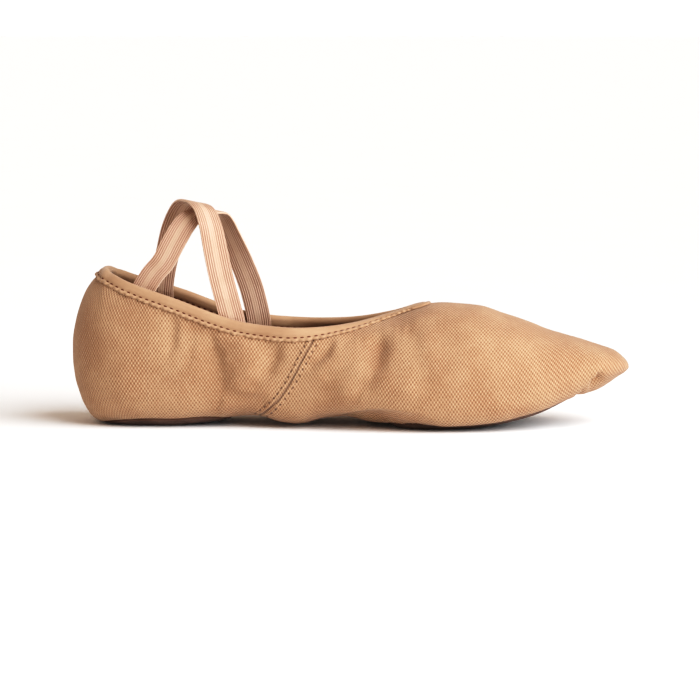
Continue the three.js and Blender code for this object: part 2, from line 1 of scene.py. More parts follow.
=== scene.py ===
"""A soft split-sole ballet slipper in stretch canvas: the finished surfaces of every piece.

Every cloth piece starts as a grid primitive that is laid over one last-like form, as canvas is
pulled over a last. The form's sizes are in millimetres along, across and up, counted from the
back of the heel, the centre line and the floor.
"""

import math

import bpy
import numpy as np
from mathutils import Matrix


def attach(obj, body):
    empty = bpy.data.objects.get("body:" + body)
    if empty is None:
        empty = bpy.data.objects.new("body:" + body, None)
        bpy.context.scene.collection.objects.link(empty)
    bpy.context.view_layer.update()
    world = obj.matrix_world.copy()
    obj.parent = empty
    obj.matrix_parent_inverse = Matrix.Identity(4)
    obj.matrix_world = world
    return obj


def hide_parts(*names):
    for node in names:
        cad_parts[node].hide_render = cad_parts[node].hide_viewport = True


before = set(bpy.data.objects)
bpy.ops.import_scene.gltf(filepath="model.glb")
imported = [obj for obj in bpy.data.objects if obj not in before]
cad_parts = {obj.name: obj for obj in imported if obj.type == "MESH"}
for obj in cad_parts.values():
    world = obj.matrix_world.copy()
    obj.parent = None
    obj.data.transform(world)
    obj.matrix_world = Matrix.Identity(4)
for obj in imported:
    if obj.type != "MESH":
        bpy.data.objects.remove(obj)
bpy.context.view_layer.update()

# Driving sizes of the slipper
LENGTH = 240.0
BALL_WIDTH = 74.0
HEEL_WIDTH = 54.0
HEEL_HEIGHT = 65.8
VAMP_HEIGHT = 51.4
HEEL_BULGE_HEIGHT = 31.5
TOE_TIP_HEIGHT = 25.0
ARCH_LIFT = 3.2
TOE_SPRING = 17.7
THROAT_ROUND = 2.8
HEEL_ROUND_LOW = 14.5
HEEL_ROUND_HIGH = 21.0
TOE_ROUND_SIDE = 15.0
TOE_ROUND_HEIGHT = 7.0
WALL = 1.2
SOLE_THICKNESS = 1.5
INSOLE_THICKNESS = 1.4
BINDING_THICKNESS = 0.9
BINDING_WIDTH = 6.2
STRAP_WIDTH = 10.4
STRAP_THICKNESS = 1.1
STRAP_LEAN = 8.0
STRAP_CROWN = 0.7
STRAP_TURN = (0.1, 0.85)
STRAP_TAIL = 9.0
STRAP_HEIGHT = 95.2
CLEARANCE = 0.36
INSOLE_CLEARANCE = 0.5
PRESS = 0.8
GROUND = SOLE_THICKNESS + CLEARANCE
BINDING_FOLD = WALL / 2 + CLEARANCE
BINDING_LEG = BINDING_WIDTH - BINDING_FOLD - BINDING_THICKNESS

# The collar's opening: shares of the length, and of the half width where it is widest
COLLAR = {"back": 0.0575, "widest": 0.385, "throat": 0.628, "gape": 0.88}
COLLAR_BACK_POWER = 3
COLLAR_NARROWING = {"late": 1.6, "sharp": 1.9}
COLLAR_WIDEST_SHARE = 0.95
THROAT_STRETCH_POWER = 8
HEEL_ROUND_POWER = 1.9
SEAM_MARGIN = 7.0
INSOLE_MARGIN = 4.0


def egg(centre, back, front, half, back_power, front_power):
    """An outline round a centre line, with its own length and squareness behind and in front."""
    return {
        "centre": centre * LENGTH,
        "back": back * LENGTH,
        "front": front * LENGTH,
        "half": half,
        "back_power": back_power,
        "front_power": front_power,
    }


def grown(outline, by):
    return {**outline, **{side: outline[side] + by for side in ("back", "front", "half")}}


HEEL_SOLE = egg(0.15, 0.096, 0.1375, 0.361 * HEEL_WIDTH, 2.2, 3.6)
FOREFOOT_SOLE = egg(0.684, 0.137, 0.237, 0.372 * BALL_WIDTH, 2.5, 2.1)
HEEL_OPENING = grown(HEEL_SOLE, -SEAM_MARGIN)
FOREFOOT_OPENING = grown(FOREFOOT_SOLE, -SEAM_MARGIN)

# Columns: share of the length, then shares of the named widths and heights
PLAN = {
    "columns": ("at", "heel", "ball"),
    "rows": [
        (0.0, 0.98, 0.0),
        (0.13, 1.0, 0.0),
        (0.25, 0.94, 0.015),
        (0.33, 0.78, 0.12),
        (0.42, 0.44, 0.44),
        (0.51, 0.12, 0.81),
        (0.58, 0.0, 0.965),
        (0.66, 0.0, 1.0),
        (0.74, 0.0, 0.965),
        (0.82, 0.0, 0.85),
        (0.9, 0.0, 0.64),
        (1.0, 0.0, 0.4),
    ],
}
TOP_LINE = {
    "columns": ("at", "back", "vamp"),
    "rows": [
        (0.0, 1.06, 0.0),
        (0.056, 1.04, 0.0),
        (0.075, 0.978, 0.0),
        (0.106, 0.924, 0.0),
        (0.194, 0.715, 0.13),
        (0.258, 0.51, 0.28),
        (0.3125, 0.315, 0.455),
        (0.383, 0.085, 0.71),
        (0.44, 0.0, 0.818),
        (0.51, 0.0, 0.85),
        (0.578, 0.0, 0.922),
        (0.635, 0.0, 1.0),
        (0.68, 0.0, 1.015),
        (0.735, 0.0, 0.99),
        (0.79, 0.0, 0.91),
        (0.87, 0.0, 0.775),
        (0.94, 0.0, 0.68),
        (1.0, 0.0, 0.575),
    ],
}
BOTTOM = {
    "columns": ("at", "arch", "spring"),
    "rows": [
        (0.0, 0.0, 0.0),
        (0.18, 0.0, 0.0),
        (0.26, 0.6, 0.0),
        (0.31, 0.95, 0.0),
        (0.35, 0.7, 0.0),
        (0.375, 0.12, 0.0),
        (0.4, -0.15, 0.0),
        (0.42, -0.05, 0.0),
        (0.455, 0.68, 0.0),
        (0.51, 1.0, 0.0),
        (0.555, 0.75, 0.0),
        (0.6, 0.0, 0.0),
        (0.69, 0.0, 0.0),
        (0.74, 0.0, 0.05),
        (0.79, 0.0, 0.17),
        (0.84, 0.0, 0.36),
        (0.9, 0.0, 0.73),
        (0.95, 0.0, 0.94),
        (1.0, 0.0, 1.2),
    ],
}
ROUNDNESS = {
    "columns": ("at", "belly", "roof", "floor"),
    "rows": [
        (0.0, 0.38, 2.2, 2.6),
        (0.15, 0.33, 2.2, 2.8),
        (0.32, 0.33, 2.2, 2.7),
        (0.4, 0.36, 2.2, 3.2),
        (0.48, 0.36, 2.1, 2.7),
        (0.63, 0.3, 2.0, 2.9),
        (0.78, 0.34, 2.0, 2.8),
        (0.9, 0.44, 2.1, 2.4),
        (1.0, 0.55, 2.1, 2.1),
    ],
}

# Folds in the canvas, each a trough along a stroke from one place to the next: shares of LENGTH
# and of VAMP_HEIGHT. behind and ahead are how far it reaches to the heel's side and to the
# toe's side of the stroke, in millimetres, and the short one is the steep one. A negative
# depth is a ridge. side is -1 near, 1 far and 0 both.
FOLDS = {
    "columns": ("side", "at", "up", "to_at", "to_up", "behind", "ahead", "depth"),
    "rows": [
        (-1, 0.195, 0.92, 0.192, 0.69, 3.5, 1.5, 1.0),
        (-1, 0.229, 0.84, 0.223, 0.59, 3.5, 2.2, 0.7),
        (-1, 0.2356, 0.91, 0.239, 0.8, 2.2, 1.4, 0.7),
        (-1, 0.256, 0.82, 0.27, 0.66, 5.0, 1.6, 1.0),
        (-1, 0.27, 0.66, 0.279, 0.46, 7.0, 1.8, 2.0),
        (-1, 0.28, 0.46, 0.277, 0.3, 8.0, 3.2, 1.5),
        (-1, 0.374, 0.74, 0.372, 0.61, 5.0, 2.4, 2.1),
        (-1, 0.372, 0.61, 0.358, 0.49, 4.0, 2.8, 2.2),
        (-1, 0.358, 0.49, 0.334, 0.38, 5.0, 3.4, 1.8),
        (-1, 0.288, 0.3, 0.345, 0.25, 3.6, 3.0, 1.3),
        (-1, 0.466, 0.84, 0.469, 0.74, 5.0, 2.0, 1.7),
        (-1, 0.469, 0.74, 0.459, 0.64, 5.0, 2.2, 1.9),
        (-1, 0.459, 0.64, 0.436, 0.56, 4.0, 2.6, 1.3),
        (-1, 0.519, 0.92, 0.507, 0.78, 3.5, 1.9, 1.3),
        (-1, 0.556, 0.84, 0.5576, 0.71, 7.0, 3.2, 2.9),
        (-1, 0.5576, 0.71, 0.552, 0.57, 8.0, 3.8, 2.5),
        (-1, 0.552, 0.57, 0.534, 0.39, 7.0, 4.4, 1.9),
        (-1, 0.318, 0.64, 0.328, 0.44, 8.0, 8.0, -2.6),
        (-1, 0.54, 0.66, 0.47, 0.47, 3.2, 3.2, 0.9),
        (-1, 0.52, 0.5, 0.46, 0.33, 5.0, 5.0, 0.6),
        (-1, 0.6115, 0.93, 0.62, 0.7, 4.0, 3.6, 0.7),
        (-1, 0.62, 0.7, 0.638, 0.44, 5.0, 4.4, 0.5),
        (-1, 0.66, 0.84, 0.675, 0.58, 5.0, 5.0, 0.4),
        (-1, 0.5, 0.33, 0.6, 0.37, 4.5, 4.5, -0.9),
        (-1, 0.03, 1.15, 0.052, 1.16, 1.8, 1.8, 0.7),
        (1, 0.205, 0.85, 0.198, 0.66, 3.6, 1.8, 0.8),
        (1, 0.283, 0.72, 0.29, 0.4, 8.0, 2.6, 2.3),
        (1, 0.39, 0.74, 0.368, 0.42, 8.0, 2.8, 2.5),
        (1, 0.48, 0.8, 0.45, 0.52, 5.0, 2.4, 1.9),
        (1, 0.57, 0.84, 0.55, 0.42, 8.0, 4.0, 3.2),
        (1, 0.54, 0.6, 0.46, 0.4, 3.6, 3.6, 1.5),
        (1, 0.625, 0.9, 0.645, 0.48, 5.0, 4.4, 1.2),
        (1, 0.04, 1.14, 0.06, 1.12, 1.8, 1.8, 0.5),
        (0, 0.884, 0.17, 0.905, 0.31, 0.6, 2.6, 3.2),
        (0, 0.914, 0.23, 0.936, 0.42, 0.6, 3.2, 3.3),
        (0, 0.968, 0.37, 0.978, 0.43, 0.6, 1.6, 0.5),
    ],
}

# Behind the ball the canvas overhangs and turns under to the sole, below this crease
TUCK_LINE = {
    "columns": ("at", "up", "share"),
    "rows": [
        (0.455, 0.085, 0.0),
        (0.475, 0.112, 0.5),
        (0.5, 0.15, 1.0),
        (0.522, 0.176, 1.0),
        (0.545, 0.198, 1.0),
        (0.5665, 0.206, 1.0),
        (0.59, 0.198, 0.95),
        (0.615, 0.18, 0.75),
        (0.645, 0.15, 0.4),
        (0.68, 0.1, 0.0),
    ],
}
TUCK_DEPTH = 3.2
TUCK_REACH = 3.4

# The side seam joins the quarters to the vamp: its line from the collar to the arch
SIDE_SEAM = {
    "columns": ("at", "up"),
    "rows": [
        (0.338, 0.08),
        (0.356, 0.15),
        (0.38, 0.26),
        (0.4, 0.4),
        (0.414, 0.53),
        (0.426, 0.64),
        (0.44, 0.75),
        (0.446, 0.9),
    ],
}

# Elastics: where each is sewn in, and its free way between. Shares of the length, of half the
# heel width, and of the rise from the collar to STRAP_HEIGHT.
STRAPS = {
    "elastic_under": {
        "from": (0.13, -1),
        "to": (0.33, 1),
        "path": [
            (0.151, -0.57, 0.17),
            (0.17, -0.548, 0.318),
            (0.189, -0.474, 0.552),
            (0.203, -0.37, 0.718),
            (0.2155, -0.252, 0.82),
            (0.232, -0.093, 0.88),
            (0.25, 0.093, 0.926),
            (0.26, 0.25, 0.91),
            (0.268, 0.4, 0.85),
            (0.279, 0.535, 0.72),
            (0.299, 0.637, 0.48),
            (0.317, 0.678, 0.25),
        ],
    },
    "elastic_over": {
        "from": (0.298, -1),
        "to": (0.152, 1),
        "path": [
            (0.289, -0.7, 0.136),
            (0.274, -0.663, 0.406),
            (0.263, -0.585, 0.64),
            (0.2535, -0.452, 0.826),
            (0.24, -0.252, 0.954),
            (0.2225, -0.019, 0.996),
            (0.204, 0.204, 0.968),
            (0.189, 0.389, 0.845),
            (0.175, 0.519, 0.645),
            (0.165, 0.59, 0.391),
            (0.157, 0.605, 0.172),
        ],
    },
}
# Grooves between the woven ribs of the elastic, as shares of its width from its middle
RIB_GROOVES = {
    "columns": ("place", "share"),
    "rows": [
        (-0.44, 1.0),
        (-0.35, 1.0),
        (-0.26, 0.9),
        (-0.17, 0.8),
        (-0.06, 0.3),
        (0.03, 0.3),
        (0.12, 0.8),
        (0.21, 1.0),
        (0.3, 0.9),
        (0.39, 1.0),
        (0.46, 0.7),
    ],
}
RIB_GROOVE_WIDTH = 0.019
RIB_GROOVE_DEPTH = 0.26

# Fineness of the form's sections, of its rays and of the meshes. More crowding sets columns
# closer to the throat and to the tip of the toe.
SECTION_STATIONS = 8000
COLLAR_STATIONS = 1600
RAY_HALVINGS = 34
SIDE_CROWDING = 1.1
VAMP_CROWDING = 1.45
HEEL_COLUMNS = 34
SIDE_COLUMNS = 112
VAMP_COLUMNS = 88
WALL_ROWS = 66
UNDER_ROWS = 18
RAY_STEPS = 90
UPPER_ROWS = UNDER_ROWS + WALL_ROWS
TURN_SHARE = 0.8
BINDING_STATIONS = 900
SOLE_COLUMNS = 90
SOLE_ROWS = 34
PAD_SKIVE = 6.0
SOLE_GAP = 0.1
STRAP_STATIONS = 220
STRAP_ROWS = 60

# Where the pleats of the toe start, as a share of the length
TOE_PLEATS_FROM = 0.87

# How far the canvas bulges over the edges of the soles, from where to where outside an edge the
# bulge comes up and goes down again, and between which heights it fades
FOREFOOT_ROLL = 1.9
HEEL_ROLL = 0.7
ROLL_START = (-0.6, 1.0)
ROLL_END = (3.5, 15)
ROLL_FADE = (3, 13)

# What holds the folds: the binding (share of a fold's depth), the turn to the vamp (shares of
# the half width), the sole (heights and distances) and, for pleats, how far the cloth faces down
FOLD_AT_BINDING = 0.12
FOLD_ON_SIDE = (0.45, 0.8)
FOLD_OFF_SOLE = (0.0, 1.5)
PLEAT_OFF_SOLE = (-1.5, 0.5)
PLEAT_FACING_DOWN = (0.75, 0.98)
LEAST_HEIGHT = 0.25

# Small gathers below the binding, and the cloth's slack everywhere: depths in millimetres
GATHER_REACH = 3.0
GATHER_DEPTH = 0.1
GATHER_SWELL = 0.14
DRAPE_DEPTH = 0.16

# Seams
BINDING_STITCH_PITCH = 2.8
BINDING_STITCH_LENGTH = 1.7
SEAM_STITCH_PITCH = 2.9
SEAM_STITCH_OFFSET = 2.0
FAR_FROM_SEAM = 99.0
BINDING_STITCH_WIDTH = 0.75
BINDING_STITCH_HEIGHT = 0.5
BINDING_STITCH_RISE = 0.3
BINDING_STITCH_MARGIN = 1.5

# The tape's free edge: the lengths of its slow waves, how far it is drawn up, and its swelling
PUCKER_LENGTHS = (7.3, 31)
PUCKER_RISE = 0.3
PUCKER_SWELL = 0.22

# Edges of the pads, and how full the padded socks are
FOREFOOT_EDGE = 0.45
HEEL_EDGE = 1.1
SOCK_EDGE = 0.7
PAD_BEVEL = 0.25


# The form

def column(table, name):
    place = table["columns"].index(name)
    return np.array([row[place] for row in table["rows"]], float)


def along(table, name, at):
    """A table's column at a share of the length, as a smooth curve through its rows."""
    stops = column(table, "at")
    values = column(table, name)
    end = len(stops) - 1
    ahead = np.minimum(np.arange(end + 1) + 1, end)
    behind = np.maximum(np.arange(end + 1) - 1, 0)
    slopes = (values[ahead] - values[behind]) / (stops[ahead] - stops[behind])
    i = np.clip(np.searchsorted(stops, at, side="right") - 1, 0, end - 1)
    span = stops[i + 1] - stops[i]
    t = np.clip((at - stops[i]) / span, 0, 1)
    s = 1 - t
    ends = values[i] * s * s * (1 + 2 * t) + values[i + 1] * t * t * (3 - 2 * t)
    return ends + span * (slopes[i] * t * s * s - slopes[i + 1] * t * t * s)


def round_end(distance, radius, power):
    left = np.clip(1 - distance / radius, 0, 1)
    return (1 - left**power) ** (1 / power)


def mix(a, b, share):
    return a + (b - a) * share


def smoothstep(value, low, high):
    t = np.clip((value - low) / (high - low), 0, 1)
    return t * t * (3 - 2 * t)


def worked_section(x):
    """The form's cross-sections at x, worked out from the tables."""
    at = np.clip(x / LENGTH, 0, 1)
    from_heel = at * LENGTH
    from_toe = LENGTH - from_heel
    width = along(PLAN, "heel", at) * HEEL_WIDTH + along(PLAN, "ball", at) * BALL_WIDTH
    half = width / 2 * round_end(from_heel, HEEL_WIDTH / 2, 2) * round_end(from_toe, TOE_ROUND_SIDE, 2)
    edge = along(TOP_LINE, "back", at) * HEEL_HEIGHT + along(TOP_LINE, "vamp", at) * VAMP_HEIGHT
    bottom = GROUND - PRESS + along(BOTTOM, "arch", at) * ARCH_LIFT
    bottom = bottom + along(BOTTOM, "spring", at) * TOE_SPRING
    edge = mix(HEEL_BULGE_HEIGHT, edge, round_end(from_heel, HEEL_ROUND_HIGH, HEEL_ROUND_POWER))
    bottom = mix(HEEL_BULGE_HEIGHT, bottom, round_end(from_heel, HEEL_ROUND_LOW, HEEL_ROUND_POWER))
    toe_end = round_end(from_toe, TOE_ROUND_HEIGHT, 2)
    edge = mix(TOE_TIP_HEIGHT, edge, toe_end)
    bottom = mix(TOE_TIP_HEIGHT, bottom, toe_end)
    middle = mix(bottom, edge, along(ROUNDNESS, "belly", at))
    roof = along(ROUNDNESS, "roof", at)

    beyond = np.where(at > COLLAR["widest"], COLLAR["throat"], COLLAR["back"])
    reach = np.clip((at - COLLAR["widest"]) / (beyond - COLLAR["widest"]), 0, 1)
    behind = at <= COLLAR["widest"]
    tip = round_end(np.maximum(COLLAR["throat"] - at, 0) * LENGTH, THROAT_ROUND, 2)
    round_back = (1 - reach**COLLAR_BACK_POWER) ** (1 / COLLAR_BACK_POWER)
    narrowing = (1 - reach ** COLLAR_NARROWING["late"]) ** COLLAR_NARROWING["sharp"]
    gape = np.where(behind, round_back, narrowing * tip) * COLLAR["gape"]
    extra = np.where(behind, 0, THROAT_ROUND * reach**THROAT_STRETCH_POWER * tip)
    collar_half = half * gape + extra
    share = collar_half / np.maximum(np.maximum(half, extra * 2), 1e-6)
    share = np.minimum(share, COLLAR_WIDEST_SHARE)
    arch = (1 - share**roof) ** (1 / roof)
    return {
        "half": half,
        "bottom": bottom,
        "middle": middle,
        "edge": edge,
        "collar_half": collar_half,
        "top": middle + (edge - middle) / arch,
        "roof": roof,
        "floor": along(ROUNDNESS, "floor", at),
    }


SECTION_X = LENGTH * (1 - np.cos(np.pi * np.linspace(0, 1, SECTION_STATIONS + 1))) / 2
SECTIONS = worked_section(SECTION_X)


def section(x, *names):
    return [np.interp(x, SECTION_X, SECTIONS[name]) for name in names]


def level(p):
    """Under 1 inside the form, 1 on its skin, over 1 outside."""
    x, y, z = p[..., 0], p[..., 1], p[..., 2]
    half, bottom, middle, top, roof, floor = section(x, "half", "bottom", "middle", "top", "roof", "floor")
    above = z > middle
    power = np.where(above, roof, floor)
    reach = np.where(above, top - middle, middle - bottom)
    wide = np.abs(y) / np.maximum(half, 1e-9)
    high = np.abs(z - middle) / np.maximum(reach, 1e-9)
    inside = wide**power + high**power
    return np.where((x <= 0) | (x >= LENGTH), np.inf, inside)


def ground_at(x):
    """The level that the soles press the form flat to. The bare arch may sag to the floor."""
    heel_end = HEEL_SOLE["centre"] + HEEL_SOLE["front"]
    forefoot_start = FOREFOOT_SOLE["centre"] - FOREFOOT_SOLE["back"]
    return np.where((x > heel_end) & (x < forefoot_start), 0.0, GROUND)


def unit(v):
    return v / np.maximum(np.linalg.norm(v, axis=-1, keepdims=True), 1e-12)


def cast(origin, direction):
    """Where a ray from inside the form leaves it."""
    inside = np.zeros(direction.shape[:-1])
    outside = np.full(direction.shape[:-1], LENGTH)
    for _ in range(RAY_HALVINGS):
        half_way = (inside + outside) / 2
        within = level(origin + direction * half_way[..., None]) < 1
        inside = np.where(within, half_way, inside)
        outside = np.where(within, outside, half_way)
    hit = origin + direction * inside[..., None]
    hit[..., 2] = np.maximum(hit[..., 2], ground_at(hit[..., 0]))
    return hit


def hub_for(x):
    hub_x = np.clip(x, HEEL_SOLE["centre"], LENGTH - TOE_ROUND_SIDE)
    (middle,) = section(hub_x, "middle")
    return np.stack([hub_x, np.zeros_like(hub_x), middle], axis=-1)


def on_skin(p):
    hub = hub_for(p[..., 0])
    return cast(hub, unit(p - hub))


def outward(p):
    reach = 0.05
    slopes = [level(p + step) - level(p - step) for step in np.eye(3) * reach]
    return unit(np.stack(slopes, axis=-1))


def bottom_at(x, y):
    half, bottom, middle, floor = section(x, "half", "bottom", "middle", "floor")
    share = np.clip(np.abs(y) / np.maximum(half, 1e-9), 0, 1)
    drop = (middle - bottom) * (1 - share**floor) ** (1 / floor)
    return np.maximum(middle - drop, ground_at(x))


def egg_half(outline, x):
    behind = x < outline["centre"]
    reach = np.abs(x - outline["centre"]) / np.where(behind, outline["back"], outline["front"])
    power = np.where(behind, outline["back_power"], outline["front_power"])
    return outline["half"] * np.maximum(1 - np.minimum(reach, 1) ** power, 0) ** (1 / power)


def collar_at(at):
    edge, collar_half = section(at * LENGTH, "edge", "collar_half")
    return np.stack([at * LENGTH, collar_half, edge], axis=-1)


def evenly(line, count):
    """count + 1 points with equal steps along a polyline."""
    steps = np.linalg.norm(np.diff(line, axis=0), axis=1)
    reach = np.concatenate([[0], np.cumsum(steps)])
    goal = np.linspace(0, reach[-1], count + 1)
    return np.stack([np.interp(goal, reach, line[:, k]) for k in range(3)], axis=1)


def half_skin():
    """Columns of the skin on the far side, from the back of the heel to the tip of the toe."""
    hub_x = HEEL_SOLE["centre"]
    throat_x = COLLAR["throat"] * LENGTH
    angles = np.linspace(0, np.pi / 2, HEEL_COLUMNS, endpoint=False)
    fan = np.stack([-np.cos(angles), np.sin(angles), np.zeros_like(angles)], axis=1)
    fan_hub = np.repeat(hub_for(np.array([hub_x])), HEEL_COLUMNS, axis=0)
    power = HEEL_OPENING["back_power"]
    spread = np.abs(fan[:, 0] / HEEL_OPENING["back"]) ** power
    spread = spread + np.abs(fan[:, 1] / HEEL_OPENING["half"]) ** power
    fan_start = fan_hub + fan * (spread ** (-1 / power))[:, None]
    fan_start[:, 2] = bottom_at(fan_start[:, 0], fan_start[:, 1])
    ats = np.linspace(COLLAR["back"], hub_x / LENGTH, 4000)
    edges = collar_at(ats)
    turned = np.arctan2(edges[:, 1], hub_x - edges[:, 0])
    fan_end = collar_at(np.interp(angles, turned, ats))

    share = np.arange(SIDE_COLUMNS) / SIDE_COLUMNS
    side_x = throat_x - (throat_x - hub_x) * (1 - share) ** SIDE_CROWDING
    share = np.arange(VAMP_COLUMNS) / VAMP_COLUMNS
    vamp_x = LENGTH - (LENGTH - throat_x) * (1 - share) ** VAMP_CROWDING
    x = np.concatenate([side_x, vamp_x])
    middle, edge = section(x, "middle", "edge")
    hub = np.stack([x, np.zeros_like(x), middle], axis=1)
    opening = np.maximum(egg_half(HEEL_OPENING, x), egg_half(FOREFOOT_OPENING, x))
    start = np.stack([x, opening, bottom_at(x, opening)], axis=1)
    end = np.where((x < throat_x)[:, None], collar_at(x / LENGTH), np.stack([x, 0 * x, edge], axis=1))

    hub = np.concatenate([fan_hub, hub])
    heading = np.concatenate([fan, np.tile([0.0, 1.0, 0.0], (len(x), 1))])
    start = np.concatenate([fan_start, start])
    end = np.concatenate([fan_end, end])

    def angle_to(p):
        away = p - hub
        return np.arctan2(away[:, 2], np.hypot(away[:, 0], away[:, 1]))

    def skin_line(first, last):
        angle = mix(first[:, None], last[:, None], np.linspace(0, 1, RAY_STEPS + 1)[None, :])
        ray = heading[:, None, :] * np.cos(angle)[..., None]
        ray = ray + np.array([0, 0, 1.0]) * np.sin(angle)[..., None]
        return cast(np.broadcast_to(hub[:, None, :], ray.shape), ray)

    reach = cast(hub, heading)
    reach = np.linalg.norm(reach - hub, axis=1) * TURN_SHARE
    depth = hub[:, 2] - section(hub[:, 0], "bottom")[0]
    turn = np.maximum(np.arctan2(-depth, reach), angle_to(start) + 0.02)
    under = skin_line(angle_to(start), turn)
    under[:, 0] = start
    wall = skin_line(turn, angle_to(end))
    wall[:, -1] = end
    rows = [
        np.concatenate([evenly(below, UNDER_ROWS)[:-1], evenly(above, WALL_ROWS)])
        for below, above in zip(under, wall)
    ]
    tip = np.tile([LENGTH, 0.0, TOE_TIP_HEIGHT], (UPPER_ROWS + 1, 1))
    return np.array(rows + [tip])


# Laying grids

def select_only(piece):
    bpy.ops.object.select_all(action="DESELECT")
    piece.select_set(True)
    bpy.context.view_layer.objects.active = piece


def lay_grid(name, points, uv, close=None):
    """A grid primitive laid on points[column, row], with its cloth's own lengths as UVs.

    Its faces look to the left of a walk along the columns with the rows going up. close gives
    the distance under which edges that meet are sewn into one."""
    columns, rows = points.shape[:2]
    bpy.ops.object.select_all(action="DESELECT")
    bpy.ops.mesh.primitive_grid_add(x_subdivisions=columns - 1, y_subdivisions=rows - 1, size=2)
    piece = bpy.context.object
    piece.name = name
    mesh = piece.data
    mesh.name = name
    flat = np.empty(len(mesh.vertices) * 3, np.float32)
    mesh.vertices.foreach_get("co", flat)
    flat = flat.reshape(-1, 3)
    i = np.rint((flat[:, 0] + 1) / 2 * (columns - 1)).astype(int)
    j = np.rint((flat[:, 1] + 1) / 2 * (rows - 1)).astype(int)
    placed = (points[i, j] - np.array([LENGTH / 2, 0, 0])) * 0.001
    mesh.vertices.foreach_set("co", placed.astype(np.float32).ravel())
    corner = np.empty(len(mesh.loops), np.int32)
    mesh.loops.foreach_get("vertex_index", corner)
    mesh.uv_layers.active.name = "cloth"
    mesh.uv_layers.active.data.foreach_set("uv", uv[i, j][corner].astype(np.float32).ravel())
    mesh.update()
    if close:
        mend(piece, reach=close * 0.001, drop_empty=True)
    bpy.ops.object.shade_smooth()
    return piece


def mend(piece, reach=None, drop_empty=False, outwards=False):
    """Sews points closer than reach metres, drops empty faces, and turns faces outwards."""
    select_only(piece)
    bpy.ops.object.mode_set(mode="EDIT")
    bpy.ops.mesh.select_all(action="SELECT")
    if reach:
        bpy.ops.mesh.remove_doubles(threshold=reach)
    if drop_empty:
        bpy.ops.mesh.dissolve_degenerate(threshold=1e-7)
    if outwards:
        bpy.ops.mesh.normals_make_consistent(inside=False)
    bpy.ops.object.mode_set(mode="OBJECT")


def apply_modifier(piece, kind, **settings):
    select_only(piece)
    modifier = piece.modifiers.new(kind.title(), kind)
    for name, value in settings.items():
        setattr(modifier, name, value)
    bpy.ops.object.modifier_apply(modifier=modifier.name)


def thicken(piece, thickness, **settings):
    """Gives an open sheet its wall, inwards from its face."""
    settings = {"offset": -1, "use_rim": True, **settings}
    apply_modifier(piece, "SOLIDIFY", thickness=thickness * 0.001, **settings)


def arc_lengths(points, axis):
    steps = np.linalg.norm(np.diff(points, axis=axis), axis=-1)
    start = np.zeros_like(np.take(steps, [0], axis=axis))
    return np.concatenate([start, np.cumsum(steps, axis=axis)], axis=axis)


def grid_normals(points):
    run = np.gradient(points, axis=0)
    rise = np.gradient(points, axis=1)
    return unit(np.cross(run, rise))


# Folds

def stroke_distance(x, z, at, up, to_at, to_up):
    """How far places lie from a stroke, less than 0 on the heel's side of it, in millimetres."""
    start = np.array([at * LENGTH, up * VAMP_HEIGHT])
    run = np.array([to_at * LENGTH, to_up * VAMP_HEIGHT]) - start
    share = np.clip(((x - start[0]) * run[0] + (z - start[1]) * run[1]) / run.dot(run), 0, 1)
    away_x = x - start[0] - run[0] * share
    away_z = z - start[1] - run[1] * share
    ahead = np.sign(run[1] * away_x - run[0] * away_z) * np.sign(run[1] or 1)
    return np.hypot(away_x, away_z) * ahead


def trough(away, behind, ahead):
    return np.exp(-((away / np.where(away < 0, behind, ahead)) ** 2))


def fold_depth(points):
    """How deep the canvas is pressed in by all its folds and tucks together."""
    x, y, z = points[..., 0], points[..., 1], points[..., 2]
    half, edge = section(x, "half", "edge")
    depth = np.zeros_like(x)
    for side, at, up, to_at, to_up, behind, ahead, sunk in FOLDS["rows"]:
        away = stroke_distance(x, z, at, up, to_at, to_up)
        depth = soft_sum(depth, sunk * trough(away, behind, ahead) * (y * side >= 0))
    below_collar = np.where(x < COLLAR["throat"] * LENGTH, edge - z, LENGTH)
    freed = smoothstep(below_collar, BINDING_LEG * 0.6, BINDING_LEG + 4)
    depth *= mix(FOLD_AT_BINDING, 1, freed)
    depth += tuck_depth(x, z)
    on_side = smoothstep(np.abs(y) / np.maximum(half, 1), *FOLD_ON_SIDE)
    depth *= np.where(x > TOE_PLEATS_FROM * LENGTH, 1, on_side)
    near_band = np.exp(-(((below_collar - BINDING_LEG - 2) / GATHER_REACH) ** 2))
    near_band = near_band * (below_collar < BINDING_WIDTH * 4)
    gathers = np.sin(x * 1.25 + 1.7 * np.sin(x * 0.31)) * GATHER_DEPTH
    depth += near_band * (gathers + np.sin(x * 0.47 + y * 0.2) * GATHER_SWELL)
    # The cloth's slack runs in slow crossing waves, in radians per millimetre
    drape = np.sin(x * 0.21 + z * 0.13) * np.sin(z * 0.19 - x * 0.11 + y * 0.05)
    drape = drape + 0.5 * np.sin(x * 0.37 - z * 0.23 + 1.0) * np.sin(z * 0.41 + y * 0.09)
    return depth + DRAPE_DEPTH * drape


def tuck_depth(x, z):
    """How far the canvas turns under below the crease behind the ball."""
    crease = along(TUCK_LINE, "up", x / LENGTH) * VAMP_HEIGHT
    share = np.clip(along(TUCK_LINE, "share", x / LENGTH), 0, 1)
    below = np.maximum(crease - z, 0)
    return TUCK_DEPTH * share * np.tanh(below / TUCK_REACH)


def soft_sum(depth, more):
    """Neighbouring strokes of one fold join without doubling where they meet."""
    same_way = depth * more > 0
    joined = np.sign(more) * (np.abs(depth) ** 4 + np.abs(more) ** 4) ** 0.25
    return np.where(same_way, joined, depth + more)


